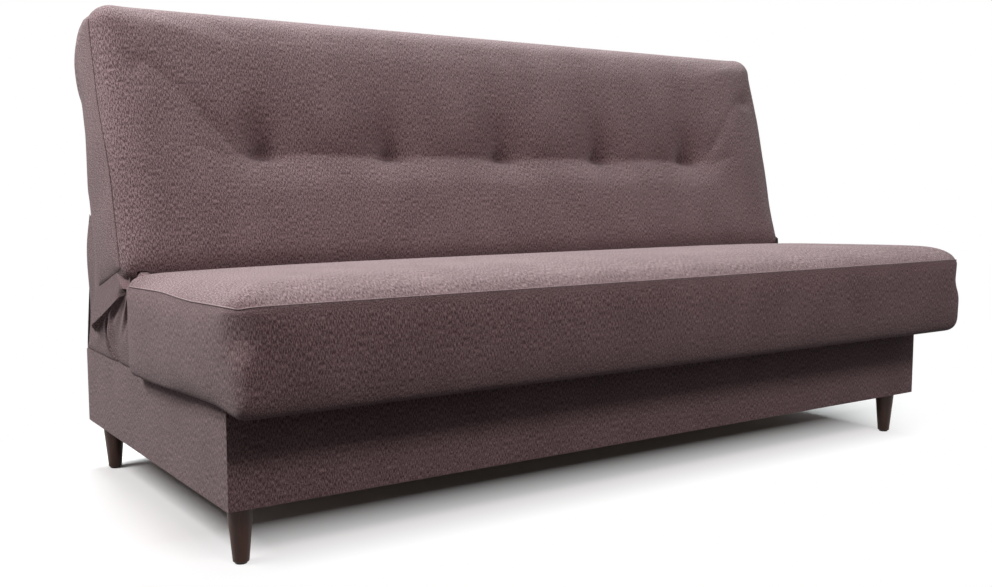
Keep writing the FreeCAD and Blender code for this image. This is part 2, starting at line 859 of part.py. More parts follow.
def make_back_support():
    """Elastic straps over the back frame, the tuft twines and their toggles."""
    straps = []
    near = "slot_depth + joint_gap"
    for number, step in enumerate((-4, -3, -2, -1, 0, 1, 2, 3, 4)):
        middle = f"{step} * strap_spacing"
        straps.append(
            block(
                f"strap_up_{number}",
                (f"{middle} - strap_width / 2", f"{middle} + strap_width / 2"),
                (near, "back_frame_end"),
                ("rail_top", "rail_top + strap_thickness"),
            )
        )
    rows = ("tuft_height", "(tuft_height + back_frame_end) / 2 + rail_thickness")
    for number, middle in enumerate(rows):
        straps.append(
            block(
                f"strap_along_{number}",
                ("-(back_rail_x + rail_thickness)", "back_rail_x + rail_thickness"),
                (f"{middle} - strap_width / 2", f"{middle} + strap_width / 2"),
                ("rail_top + strap_thickness", "rail_top + 2 * strap_thickness"),
            )
        )
    bores = []
    twines = []
    toggles = []
    twine_low = "rail_top"
    twine_high = "-(tuft_depth + cover)"
    for number, x in enumerate(tuft_places()):
        length = f"{twine_high} - ({twine_low})"
        hole = "twine_radius + hole_gap"
        at = (x, "tuft_height", twine_low, HEX_COUNT)
        bores.append(rod(f"strap_bore_{number}", "Z", hole, length, *at))
        twines.append(rod(f"twine_{number}", "Z", "twine_radius", length, *at))
        toggles.append(
            rod(
                f"toggle_{number}",
                "X",
                "toggle_radius",
                "toggle_length",
                f"{x} - toggle_length / 2",
                "tuft_height",
                "rail_top - toggle_radius",
                SHANK_COUNT,
            )
        )
    webbing = cut("straps", group("strap_set", straps), bores)
    keep_in_half(webbing, "back_webbing", "back")
    keep_in_half(group("twines", twines), "tuft_twines", "back")
    keep_in_half(group("toggles", toggles), "tuft_toggles", "back")


# Hinge mechanism
def pawl_pin_place():
    """The pawl pin, in front of the ratchet and a little below it."""
    return "pivot_y - pawl_pin_setback", "pivot_z - pawl_pin_drop"


def make_base_plate(side, sign):
    """The fixed plate: a foot on the side board and a neck up to the hinge line."""
    owner = body(f"base_{side}")
    foot_top = "box_top - plate_margin"
    shoulder = "pivot_z - slot_mouth_height - slot_clearance"
    points = (
        ("pivot_y - foot_plate_front", "box_top - foot_plate_height"),
        ("pivot_y + foot_plate_rear", "box_top - foot_plate_height"),
        ("pivot_y + foot_plate_rear", foot_top),
        ("pivot_y + slot_depth - slot_clearance", foot_top),
        ("pivot_y + plate_rear", f"{foot_top} + slot_depth - slot_clearance - plate_rear"),
        ("pivot_y + plate_eye_radius", "pivot_z"),
        ("pivot_y - plate_eye_radius", "pivot_z"),
        ("pivot_y - sector_radius", shoulder),
        ("pivot_y - plate_front", shoulder),
        ("pivot_y - plate_front", f"{foot_top} + foot_plate_front - plate_front"),
        ("pivot_y - foot_plate_front", foot_top),
    )
    pad(owner, f"base_{side}_pad", outline(owner, f"base_{side}_outline", "YZ_Plane", points), "plate")
    eye = circles(owner, f"base_{side}_eye", "YZ_Plane", [("pivot_y", "pivot_z", "plate_eye_radius")])
    pad(owner, f"base_{side}_eye_pad", eye, "plate")
    pin = pawl_pin_place()
    holes = (
        ("pivot_y", "pivot_z", "pivot_radius + running_gap"),
        (pin[0], pin[1], "pawl_pin_radius + running_gap"),
    )
    pocket_through(owner, f"base_{side}_drill", circles(owner, f"base_{side}_holes", "YZ_Plane", holes))
    corner_y = (value("pivot_y - foot_plate_front"), value("pivot_y + foot_plate_rear"))
    corner_z = value("box_top - foot_plate_height")

    def at_corner(edge):
        box = edge.BoundBox
        crosses = abs(box.XLength - value("plate")) < value("running_gap")
        low = abs(box.ZMax - corner_z) < value("running_gap")
        outer = [abs(box.YMax - y) < value("running_gap") for y in corner_y]
        return crosses and low and any(outer) and box.YLength < value("running_gap")

    round_edges(owner, f"base_{side}_corners", "plate_margin", at_corner)
    x = span(sign, "plate_x", "plate_x + plate")
    place(owner, x[0])
    bores = screw_bores(f"base_{side}_bore", x, foot_screw_spots())
    keep(cut(f"base_{side}_drilled", owner, bores), f"base_plate_{side}")


def sector_points():
    """The ratchet: teeth around the hinge line whose radius falls as the back goes down."""
    points = []
    count = int(value("tooth_count"))
    for tooth in range(count + 1):
        angle = f"(sector_start + sector_sweep * {tooth} / tooth_count)"
        crest = f"(sector_radius - sector_fall * {tooth} / tooth_count)"
        if tooth > 0:
            root = f"({crest} - tooth_depth)"
            points.append((f"{root} * cos({angle})", f"{root} * sin({angle})"))
        if tooth < count:
            points.append((f"{crest} * cos({angle})", f"{crest} * sin({angle})"))
    return points


def make_arm(half, side, sign):
    """A flat bar with an eye: down from the hinge line, then along its end rail."""
    run = HALVES[half]["run"]
    owner = body(f"{half}_arm_{side}_body")
    name = f"{half}_arm_{side}"
    points = (
        ("0", "arm_eye_radius"),
        ("arm_eye_radius", "0"),
        ("arm_width + plate_margin", "arm_top"),
        ("arm_reach", "arm_top"),
        ("arm_reach", "arm_low"),
        ("plate_margin", "arm_low"),
        ("0", "arm_top"),
        ("0", "0"),
    )
    shaped = [(f"{run} * ({a})", b) for a, b in points]
    pad(owner, f"{name}_pad", outline(owner, f"{name}_outline", "YZ_Plane", shaped), "plate")
    eye = circles(owner, f"{name}_eye", "YZ_Plane", [("0", "0", "arm_eye_radius")])
    pad(owner, f"{name}_eye_pad", eye, "plate")
    if half == "back":
        teeth = [("0", "0")] + sector_points()
        sketch = outline(owner, f"{name}_teeth", "YZ_Plane", teeth)
        pad(owner, f"{name}_sector", sketch, "plate")
    hole = circles(owner, f"{name}_hole", "YZ_Plane", [("0", "0", "pivot_radius + running_gap")])
    pocket_through(owner, f"{name}_drill", hole)
    arm_x = HALVES[half]["arm_x"]
    x = span(sign, arm_x, f"{arm_x} + plate")
    place(owner, x[0])
    bores = screw_bores(f"{name}_bore", x, arm_screw_spots(half))
    keep_in_half(cut(f"{name}_drilled", owner, bores), name, half)


def make_pawl(side, sign):
    """The pawl: a hub on its pin and a nose that rides the ratchet's crests."""
    owner = body(f"pawl_{side}_body")
    pin_y, pin_z = pawl_pin_place()
    tip = "(sector_radius + pawl_ride)"
    tip_y = f"(pivot_y + {tip} * cos(pawl_angle) - ({pin_y}))"
    tip_z = f"(pivot_z + {tip} * sin(pawl_angle) - ({pin_z}))"
    points = (
        ("0", "pawl_hub_radius"),
        (tip_y, tip_z),
        (f"{tip_y} + pawl_ride", f"{tip_z} - pawl_nose / 2"),
        (f"{tip_y} - pawl_nose", f"{tip_z} - pawl_nose"),
        ("0", "-pawl_hub_radius"),
    )
    name = f"pawl_{side}"
    pad(owner, f"{name}_pad", outline(owner, f"{name}_outline", "YZ_Plane", points), "pawl_thickness")
    hub = circles(owner, f"{name}_hub", "YZ_Plane", [("0", "0", "pawl_hub_radius")])
    pad(owner, f"{name}_hub_pad", hub, "pawl_thickness")
    bore = circles(owner, f"{name}_hole", "YZ_Plane", [("0", "0", "pawl_pin_radius + running_gap")])
    pocket_through(owner, f"{name}_bore", bore)
    middle = "back_arm_x + (plate - pawl_thickness) / 2"
    x = span(sign, middle, f"{middle} + pawl_thickness")[0]
    place(owner, x, pin_y, pin_z)
    keep(owner, name)


def hex_bolts(name, spots, head_radius, head_height, radius, length, sides=SHANK_COUNT):
    """Bolts whose heads face the middle: each spot is a sign, the seat of the head, y and z."""
    bolts = []
    for number, (sign, x, y, z) in enumerate(spots):
        head_x = span(sign, f"{x} - {head_height}", x)[0]
        shank_x = span(sign, x, f"{x} + {length}")[0]
        bolt = doc.addObject("Part::Fuse", f"{name}_{number}")
        head = rod(f"{name}_head_{number}", "X", head_radius, head_height, head_x, y, z, HEX_COUNT)
        bolt.Base = head
        bolt.Tool = rod(f"{name}_shank_{number}", "X", radius, length, shank_x, y, z, sides)
        bolts.append(bolt)
    return group(name, bolts)


def make_fasteners():
    reach = "(pivot_end_x - plate_x + pivot_head_height)"
    spots = [(sign, "plate_x", "pivot_y", "pivot_z") for sign in SIDES.values()]
    sizes = ("pivot_head_radius", "pivot_head_height", "pivot_radius", reach)
    keep(hex_bolts("pivot_bolt", spots, *sizes, sides=None), "pivot_bolts")

    nuts = []
    for side, sign in SIDES.items():
        x = span(sign, "pivot_end_x", "pivot_end_x + pivot_head_height")[0]
        at = (x, "pivot_y", "pivot_z")
        nut = rod(f"nut_{side}", "X", "pivot_head_radius", "pivot_head_height", *at, HEX_COUNT)
        bore = rod(f"nut_bore_{side}", "X", "pivot_radius + running_gap", "pivot_head_height", *at)
        nuts.append(cut(f"nut_drilled_{side}", nut, [bore]))
    keep(group("nuts", nuts), "pivot_nuts")

    pins = []
    for side, sign in SIDES.items():
        at = (span(sign, "plate_x", "back_rail_x")[0], *pawl_pin_place())
        pins.append(rod(f"pin_{side}", "X", "pawl_pin_radius", "back_rail_x - plate_x", *at))
    keep(group("pins", pins), "pawl_pins")

    screw = ("screw_head_radius", "screw_head_height", "screw_radius", "screw_length")
    spots = [(sign, "plate_x", y, z) for sign in SIDES.values() for y, z in foot_screw_spots()]
    keep(hex_bolts("plate_screw", spots, *screw), "plate_screws")
    for half, facts in HALVES.items():
        places = arm_screw_spots(half)
        spots = [(sign, facts["arm_x"], y, z) for sign in SIDES.values() for y, z in places]
        keep_in_half(hex_bolts(f"{half}_screw", spots, *screw), f"{half}_arm_screws", half)


def make_pawl_springs():
    """A bent leaf on each base plate that holds the pawl up against the ratchet."""
    springs = []
    pin_y, pin_z = pawl_pin_place()
    for side, sign in SIDES.items():
        owner = body(f"leaf_{side}")
        low = "-spring_drop"
        high = "-(pawl_hub_radius + pawl_ride)"
        reach = "pawl_hub_radius + pawl_nose"
        points = (
            ("-pawl_hub_radius", low),
            (reach, f"{low} + spring_leaf_width"),
            (f"{reach} + spring_leaf_width", f"{high} - spring_leaf"),
            ("spring_leaf_width", f"{high} - spring_leaf"),
            ("spring_leaf_width", high),
            (f"{reach} + spring_leaf_width + spring_leaf", high),
            (f"{reach} + spring_leaf", low),
            ("-pawl_hub_radius", f"{low} - spring_leaf"),
        )
        sketch = outline(owner, f"leaf_{side}_outline", "YZ_Plane", points)
        pad(owner, f"leaf_{side}_pad", sketch, "spring_leaf_width")
        start = span(sign, "plate_x + plate", "plate_x + plate + spring_leaf_width")[0]
        place(owner, start, pin_y, pin_z)
        springs.append(owner)
    keep(group("leaves", springs), "pawl_springs")


# Loose cloths
def make_skirt():
    """The cloth that hangs from the back's rear to the box, at rest."""
    turn = radians(value("fold_angle"))
    thickness = value("mattress_thickness + rest_gap")
    rise = value("skirt_rise")
    top_y = value("pivot_y") + rise * cos(turn) + thickness * sin(turn)
    top_z = value("pivot_z") + rise * sin(turn) - thickness * cos(turn)
    foot_y = value("box_rear - cover")
    foot_z = value("box_top + rest_gap")
    cloth = value("skirt_cloth")
    half_width = value("box_width / 2 - skirt_inset")
    points = [
        FreeCAD.Vector(-half_width, y, z)
        for y, z in (
            (foot_y, foot_z),
            (foot_y + cloth, foot_z),
            (top_y + cloth, top_z),
            (top_y, top_z),
        )
    ]
    face = Part.Face(Part.makePolygon(points + points[:1]))
    feature = doc.addObject("Part::Feature", "skirt")
    feature.Shape = face.extrude(FreeCAD.Vector(2 * half_width, 0, 0))
    keep(feature, "rear_skirt")


def make_gussets():
    """The cloth at each end that fills the wedge between seat, back and box."""
    turn = radians(value("fold_angle"))
    thickness = value("mattress_thickness")
    clear = value("rest_gap")
    pivot_y = value("pivot_y")
    pivot_z = value("pivot_z")
    gap = value("joint_gap")
    corner_y = pivot_y + gap * cos(turn) + thickness * sin(turn)
    corner_z = pivot_z + gap * sin(turn) - thickness * cos(turn)
    floor = value("box_top + rest_gap")
    drop = value("joint_drop")
    points_at = (
        (pivot_y, pivot_z - drop),
        (pivot_y, floor),
        (corner_y - value("gusset_overlap"), floor),
        (corner_y, corner_z - clear - gap),
    )
    cloth = value("skirt_cloth")
    for side, sign in SIDES.items():
        x = sign * value("box_width / 2 - skirt_inset")
        points = [FreeCAD.Vector(x, y, z) for y, z in points_at]
        face = Part.Face(Part.makePolygon(points + points[:1]))
        feature = doc.addObject("Part::Feature", f"gusset_{side}_cloth")
        feature.Shape = face.extrude(FreeCAD.Vector(-sign * cloth, 0, 0))
        keep(feature, f"gusset_{side}")


make_box()
make_legs()
for cushion in HALVES:
    make_frame(cushion)
    make_cushion(cushion)
make_seat_support()
make_back_support()
for side_name, side_sign in SIDES.items():
    make_base_plate(side_name, side_sign)
    make_arm("seat", side_name, side_sign)
    make_arm("back", side_name, side_sign)
    make_pawl(side_name, side_sign)
make_fasteners()
make_pawl_springs()
make_skirt()
make_gussets()
doc.recompute()

# Every object must be sound before anything is written
for thing in doc.Objects:
    if "Invalid" in thing.State or "Error" in thing.State:
        raise RuntimeError(f"{thing.Name} failed: {thing.State}")
for part in parts:
    if part.Shape.isNull() or not part.Shape.isValid():
        raise RuntimeError(f"{part.Label} has no sound shape")

os.makedirs("parts", exist_ok=True)
for part in parts:
    part.Shape.exportStep(f"parts/{part.Label}.step")
    print(part.Label, len(part.Shape.Solids), round(part.Shape.Volume / 1000, 1))
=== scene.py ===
# %% [markdown]
# A sofa bed that folds out like a book, dressed around its construction model.
# The construction model already holds the boards, rails, springs and hinges at their real size.
# What is made here is what the eye meets: the fabric, the two soft halves with their seams and
# tufts, the turned legs, the loose cloths at the hinge, and the finish of every part inside.
# Blender may start with a cube, a lamp and a camera of its own, so these are cleared away first.

import json
from math import pi, radians, tan

import bpy
import numpy as np
from mathutils import Euler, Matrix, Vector

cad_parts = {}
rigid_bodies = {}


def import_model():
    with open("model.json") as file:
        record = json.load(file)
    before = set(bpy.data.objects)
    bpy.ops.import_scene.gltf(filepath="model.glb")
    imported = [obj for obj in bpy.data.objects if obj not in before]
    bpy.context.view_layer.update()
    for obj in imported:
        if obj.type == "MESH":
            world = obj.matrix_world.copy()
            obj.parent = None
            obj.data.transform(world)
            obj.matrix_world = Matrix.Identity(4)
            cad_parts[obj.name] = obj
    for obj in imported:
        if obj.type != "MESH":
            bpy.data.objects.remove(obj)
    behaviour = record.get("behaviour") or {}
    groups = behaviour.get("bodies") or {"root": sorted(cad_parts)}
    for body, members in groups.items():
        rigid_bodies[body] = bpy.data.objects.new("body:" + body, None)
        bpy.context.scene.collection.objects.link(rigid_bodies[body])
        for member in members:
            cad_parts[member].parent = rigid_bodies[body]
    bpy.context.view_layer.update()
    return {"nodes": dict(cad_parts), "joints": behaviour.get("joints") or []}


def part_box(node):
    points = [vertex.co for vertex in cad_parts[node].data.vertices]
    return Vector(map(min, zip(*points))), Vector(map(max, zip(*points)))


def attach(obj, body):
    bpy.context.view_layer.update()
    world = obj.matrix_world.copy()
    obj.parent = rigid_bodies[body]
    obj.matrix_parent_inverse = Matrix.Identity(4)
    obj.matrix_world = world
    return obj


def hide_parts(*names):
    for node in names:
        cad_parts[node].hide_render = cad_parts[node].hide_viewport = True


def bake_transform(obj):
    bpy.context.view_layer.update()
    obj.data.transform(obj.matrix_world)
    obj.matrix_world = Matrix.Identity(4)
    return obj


for leftover in list(bpy.data.objects):
    bpy.data.objects.remove(leftover)
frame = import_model()

# %% [markdown]
# Both halves turn about one line, and the frame gives it. The seat and the back are modelled lying
# flat on that line, as a mattress, and are then turned to their place. So one way of working
# makes both.

# %% Sizes that come from the frame, and the few that don't
joints = {joint["name"]: joint for joint in frame["joints"]}
HINGE = Vector(joints["back_hinge"]["pos_m"])
FOLD_ANGLE = radians(joints["back_hinge"]["range_deg"][1])
SEAT_TILT = radians(1.8)
HALF_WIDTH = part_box("seat_cover")[1].x
DEPTH = 0.577
THICKNESS = 0.184
JOINT_GAP = 0.003
SHOULDER_RISE = 0.009
NEARLY = 0.001
TOUCH = 1e-6
BOX_LOW, BOX_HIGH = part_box("box_cover")
BOX_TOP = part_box("box_rear_board")[1].z
print("hinge line at", [round(v, 4) for v in HINGE], "box top", round(BOX_TOP, 4))

# %% [markdown]
# A few helpers stand for what a hand does in the viewport: let go of everything, pick up one
# piece, choose its faces or edges, and read or write its points.


# %% Helpers for working on one piece
def deselect():
    bpy.ops.object.select_all(action="DESELECT")


def focus(piece):
    """Select one piece alone and make it the active one."""
    deselect()
    piece.select_set(True)
    bpy.context.view_layer.objects.active = piece


def points_of(piece):
    points = np.empty(len(piece.data.vertices) * 3)
    piece.data.vertices.foreach_get("co", points)
    return points.reshape(-1, 3)


def set_points(piece, points):
    piece.data.vertices.foreach_set("co", np.ascontiguousarray(points, np.float32).ravel())
    piece.data.update()


def normals_of(piece):
    normals = np.empty(len(piece.data.vertices) * 3)
    piece.data.vertices.foreach_get("normal", normals)
    return normals.reshape(-1, 3)


def edge_ends(piece):
    ends = np.empty(len(piece.data.edges) * 2, int)
    piece.data.edges.foreach_get("vertices", ends)
    return ends.reshape(-1, 2)


def edit(piece, kind="EDGE"):
    """Open a piece for editing with nothing selected."""
    focus(piece)
    bpy.ops.object.mode_set(mode="EDIT")
    bpy.ops.mesh.select_mode(type=kind)
    bpy.ops.mesh.select_all(action="DESELECT")


def pick(piece, edges=None, faces=None):
    """Select the edges or faces that an array of booleans marks, in edit mode."""
    bpy.ops.mesh.select_all(action="DESELECT")
    bpy.ops.object.mode_set(mode="OBJECT")
    if edges is not None:
        piece.data.edges.foreach_set("select", np.asarray(edges, bool))
    if faces is not None:
        piece.data.polygons.foreach_set("select", np.asarray(faces, bool))
    bpy.ops.object.mode_set(mode="EDIT")


def close_edit():
    bpy.ops.object.mode_set(mode="OBJECT")


def finish_modifiers(piece):
    focus(piece)
    for modifier in list(piece.modifiers):
        bpy.ops.object.modifier_apply(modifier=modifier.name)


def settle(piece, location=(0, 0, 0), turn=(0, 0, 0)):
    """Move and turn a piece from the origin, and keep its place in its mesh."""
    focus(piece)
    piece.location = location
    piece.rotation_euler = Euler(turn)
    bpy.ops.object.transform_apply(location=True, rotation=True, scale=True)


def smooth(piece, angle=None):
    focus(piece)
    if angle is None:
        bpy.ops.object.shade_smooth()
    else:
        bpy.ops.object.shade_smooth_by_angle(angle=radians(angle))


def ease(share):
    """Nought to one with a gentle start and end."""
    share = np.clip(share, 0, 1)
    return share * share * (3 - 2 * share)


def rise(value, start, span):
    """Nought up to start, one from start + span on, and a gentle slope between."""
    return ease((value - start) / span)


def mixed(first, second, share):
    return first + (second - first) * share


# %% [markdown]
# A shader is a small sum: threads of two colours, mixed by noise. Blender's nodes can be wired up
# by name, but a sum reads better as a sum. `Wire` wraps a socket, so that wires can be added,
# multiplied and compared, and `Finish` holds one material, or the world, while it is being built.


# %% Shader sums as expressions
class Wire:
    """A value on its way through a material."""

    def __init__(self, finish, socket):
        self.finish = finish
        self.socket = socket

    def sum(self, operation, *others):
        values = {i + 1: other for i, other in enumerate(others)}
        return self.finish.node("Math", {"operation": operation}, {0: self, **values})

    def __add__(self, other):
        return self.sum("ADD", other)

    def __sub__(self, other):
        return self.sum("SUBTRACT", other)

    def __mul__(self, other):
        return self.sum("MULTIPLY", other)

    def __rsub__(self, other):
        return self.finish.node("Math", {"operation": "SUBTRACT"}, {0: other, 1: self})

    __radd__ = __add__
    __rmul__ = __mul__

    def at_least(self, other):
        return self.sum("MAXIMUM", other)

    def clamped(self):
        return self.sum("MAXIMUM", 0.0).sum("MINIMUM", 1.0)


class Finish:
    """One material, or the world: its nodes are asked for by type, settings and inputs."""

    def __init__(self, name, kind="materials"):
        self.material = getattr(bpy.data, kind).new(name)
        self.material.use_nodes = True
        self.tree = self.material.node_tree
        self.surface = self.tree.nodes.get("Principled BSDF")

    def node(self, kind, settings=None, inputs=None, output=0):
        made = self.tree.nodes.new("ShaderNode" + kind)
        for name, setting in (settings or {}).items():
            setattr(made, name, setting)
        for name, given in (inputs or {}).items():
            self.feed(made.inputs[name], given)
        return Wire(self, made.outputs[output])

    def feed(self, socket, given):
        if isinstance(given, Wire):
            self.tree.links.new(given.socket, socket)
        elif isinstance(given, tuple) and len(given) == 3 and socket.type == "RGBA":
            socket.default_value = (*given, 1)
        else:
            socket.default_value = given

    def mix(self, share, first, second):
        """A colour between two."""
        inputs = {0: share, 6: first, 7: second}
        return self.node("Mix", {"data_type": "RGBA"}, inputs, output=2)

    def object_place(self, scale=(1, 1, 1)):
        place = self.node("TexCoord", output="Object")
        return self.node("Mapping", {}, {"Vector": place, "Scale": scale})

    def cloth_place(self, scale=(1, 1, 1)):
        place = self.node("UVMap", {"uv_map": "cloth"})
        return self.node("Mapping", {}, {"Vector": place, "Scale": scale})

    def noise(self, place, scale, detail=2.0, roughness=0.5):
        inputs = {"Vector": place, "Scale": scale, "Detail": detail, "Roughness": roughness}
        return self.node("TexNoise", {}, inputs)

    def bump(self, height, distance, strength=1.0):
        inputs = {"Height": height, "Distance": distance, "Strength": strength}
        return self.node("Bump", {}, inputs)

    def seen_ray(self):
        """One where the camera looks, directly or in a reflection, and nought for other light."""
        camera_ray = self.node("LightPath", output="Is Camera Ray")
        return camera_ray.at_least(self.node("LightPath", output="Is Glossy Ray"))

    def set(self, **values):
        for name, given in values.items():
            self.feed(self.surface.inputs[name.replace("_", " ")], given)
        return self.material


# %% [markdown]
# The fabric is a melange: dark brown and pale pink-grey yarns twisted together, so that a step
# away it is a mottled taupe with short upright streaks. Three noises make it: long thin streaks
# for the yarn, fine specks for the twist, and a broad cloud for the slight unevenness of the
# whole cloth. A plain weave of about half a millimetre gives the surface its tooth.


# %% The melange fabric
YARN_DARK = (0.078, 0.045, 0.048)
YARN_LIGHT = (0.34, 0.25, 0.257)
LIGHT_SHARE = 0.37
WEAVE_SCALE = 540.0


def melange(name, place_of):
    """The upholstery fabric, on a place that runs across and along the yarn in metres."""
    finish = Finish(name)
    slubs = finish.noise(place_of(finish, (680, 140, 680)), 1.0, 2.0, 0.55)
    yarn = finish.noise(place_of(finish, (1100, 300, 1100)), 1.0, 2.0, 0.6)
    cloud = finish.noise(place_of(finish, (9, 6, 9)), 1.0, 2.0, 0.5)
    share = LIGHT_SHARE + (slubs - 0.5) * 4.1 + (yarn - 0.5) * 2.6 + (cloud - 0.5) * 0.4
    colour = finish.mix(share.clamped(), YARN_DARK, YARN_LIGHT)
    threads = [
        finish.node("TexWave", {"bands_direction": way}, {
            "Vector": place_of(finish, (1, 1, 1)), "Scale": WEAVE_SCALE, "Distortion": 1.2,
            "Detail": 1.0, "Detail Scale": 2.0,
        }, output=1)
        for way in ("X", "Y")
    ]
    height = threads[0] * 0.5 + threads[1] * 0.5 + yarn * 0.5
    return finish.set(
        Base_Color=colour, Roughness=0.88 + (yarn - 0.5) * 0.15, Sheen_Weight=0.12,
        Sheen_Roughness=0.5, Specular_IOR_Level=0.18, Normal=finish.bump(height, 0.0005, 0.5),
    )


CLOTH = melange("upholstery_fabric_sewn", Finish.cloth_place)
CLOTH_PLAIN = melange("upholstery_fabric_flat", Finish.object_place)
print("fabric:", CLOTH.name, "and", CLOTH_PLAIN.name)

# %% [markdown]
# The legs are turned beech, stained almost black-brown and lacquered. Grain on a turned leg runs
# up its length, so the noise is stretched along Z, and a thin clear coat gives the soft highlight
# down one side. The rails of the frame inside are plain pine.


# %% Woods
PINE_DARK = (0.36, 0.2, 0.09)
PINE_LIGHT = (0.62, 0.42, 0.22)


def timber(name, dark, light, along, rough=0.6, coat=0.0, fine=1.0):
    """Wood whose grain runs along one axis of the piece."""
    finish = Finish(name)
    grain = [60 * fine] * 3
    grain[along] = 2.5 * fine
    rings = finish.noise(finish.object_place(tuple(grain)), 1.0, 4.0, 0.6)
    pores = [900] * 3
    pores[along] = 30
    pore = finish.noise(finish.object_place(tuple(pores)), 1.0, 2.0, 0.6)
    share = ((rings - 0.5) * 2.2 + (pore - 0.5) * 0.9 + 0.5).clamped()
    colour = finish.mix(share, dark, light)
    return finish.set(
        Base_Color=colour, Roughness=rough + (pore - 0.5) * 0.2, Coat_Weight=coat,
        Coat_Roughness=0.22, Specular_IOR_Level=0.3,
        Normal=finish.bump(rings * 0.5 + pore * 0.5, 0.0003, 0.4),
    )


LEG_WOOD = timber("stained_beech", (0.014, 0.004, 0.002), (0.06, 0.022, 0.011), 2, 0.5, 0.05, 1.6)
PINE_ACROSS = timber("pine_across", PINE_DARK, PINE_LIGHT, 0)
PINE_DEEP = timber("pine_deep", PINE_DARK, PINE_LIGHT, 1)
PINE_UPRIGHT = timber("pine_upright", PINE_DARK, PINE_LIGHT, 2)
HARDBOARD = timber("hardboard", (0.12, 0.065, 0.035), (0.2, 0.115, 0.06), 0, 0.5, 0.1, 0.7)
print("woods:", LEG_WOOD.name, "and pine along three axes")


# %% [markdown]
# Chipboard has no grain. It is flakes pressed flat, so cells of a few millimetres take their own
# tint, with fine dust between them.


# %% Chipboard
def chipboard():
    finish = Finish("chipboard")
    flakes = finish.node("TexVoronoi", {}, {
        "Vector": finish.object_place(), "Scale": 220.0, "Randomness": 1.0,
    }, output=1)
    tint = finish.node("RGBToBW", {}, {0: flakes})
    dust = finish.noise(finish.object_place(), 900.0, 3.0, 0.7)
    share = (tint * 0.75 + dust * 0.5 - 0.1).clamped()
    colour = finish.mix(share, (0.25, 0.15, 0.075), (0.6, 0.44, 0.26))
    return finish.set(
        Base_Color=colour, Roughness=0.75 + dust * 0.15,
        Normal=finish.bump(tint + dust, 0.0003, 0.5),
    )


CHIPBOARD = chipboard()
print("board:", CHIPBOARD.name)


# %% [markdown]
# The hinge plates are pressed steel with black powder coat, a fine orange peel. Bolts, pins and
# screws are zinc plated: bright, with a faint cloud. The springs are oiled wire.


# %% Metals
def metal(name, colour, rough, metallic, peel, peel_depth):
    finish = Finish(name)
    grain = finish.noise(finish.object_place(), peel, 3.0, 0.6)
    cloud = finish.noise(finish.object_place(), 35.0, 2.0, 0.5)
    darker = tuple(v * 0.82 for v in colour)
    lighter = tuple(min(v * 1.15, 1) for v in colour)
    shade = finish.mix(cloud, darker, lighter)
    return finish.set(
        Base_Color=shade, Metallic=metallic, Roughness=rough + (grain - 0.5) * 0.18,
        Normal=finish.bump(grain, peel_depth, 0.5),
    )


PLATE_PAINT = metal("black_powder_coat", (0.02, 0.02, 0.022), 0.5, 0.0, 900.0, 0.0003)
ZINC = metal("zinc_plate", (0.62, 0.63, 0.65), 0.32, 1.0, 400.0, 0.0001)
SPRING_WIRE = metal("spring_wire", (0.2, 0.2, 0.21), 0.42, 1.0, 500.0, 0.0001)
print("metals:", PLATE_PAINT.name, ZINC.name, SPRING_WIRE.name)


# %% [markdown]
# Plain textiles and plastics share one recipe: two close tones mixed by a noise of the right
# size, with the same noise as relief. Dust cloth is spun-bonded and nearly black, felt is a grey
# shoddy, webbing has a rib across it.


# %% Cloths and plastics of the inside
def mottled(name, dark, light, size, relief, rough=0.9, stretch=(1, 1, 1)):
    finish = Finish(name)
    fibres = finish.noise(finish.object_place(stretch), size, 4.0, 0.65)
    cloud = finish.noise(finish.object_place(), 20.0, 2.0, 0.5)
    share = ((fibres - 0.5) * 2.4 + (cloud - 0.5) * 0.5 + 0.5).clamped()
    return finish.set(
        Base_Color=finish.mix(share, dark, light), Roughness=rough,
        Specular_IOR_Level=0.3, Normal=finish.bump(fibres, relief, 0.6),
    )


DUST_CLOTH = mottled("dust_cloth", (0.012, 0.011, 0.012), (0.035, 0.032, 0.033), 420.0, 0.0004)
FELT = mottled("shoddy_felt", (0.1, 0.095, 0.09), (0.34, 0.32, 0.3), 300.0, 0.0012)
WEBBING = mottled(
    "elastic_webbing", (0.2, 0.15, 0.09), (0.45, 0.37, 0.25), 600.0, 0.0005, 0.85, (3, 0.4, 1)
)
TWINE = mottled("tufting_twine", (0.4, 0.36, 0.29), (0.72, 0.68, 0.58), 900.0, 0.0003)
PLASTIC = mottled("black_plastic", (0.012, 0.012, 0.012), (0.03, 0.03, 0.03), 500.0, 0.0001, 0.45)
# A near-black tube in the back's seam: painted shade for the seam's groove.
SEAM_GROOVE_PAINTED_SHADE = mottled("seam_groove_painted_shade", (0.03, 0.02, 0.021), (0.075, 0.053, 0.055), 900.0, 0.0002)
# A paler copy of the fabric for the seat's seam fold: painted highlight along the fold's ridge.
FOLD_PAINTED_HIGHLIGHT = mottled("seam_fold_painted_highlight", (0.17, 0.12, 0.124), (0.36, 0.28, 0.285), 400.0, 0.0003)
print("materials in all:", len(bpy.data.materials))

# %% [markdown]
# Every part of the construction model that can be seen gets its own finish. It keeps its shape.

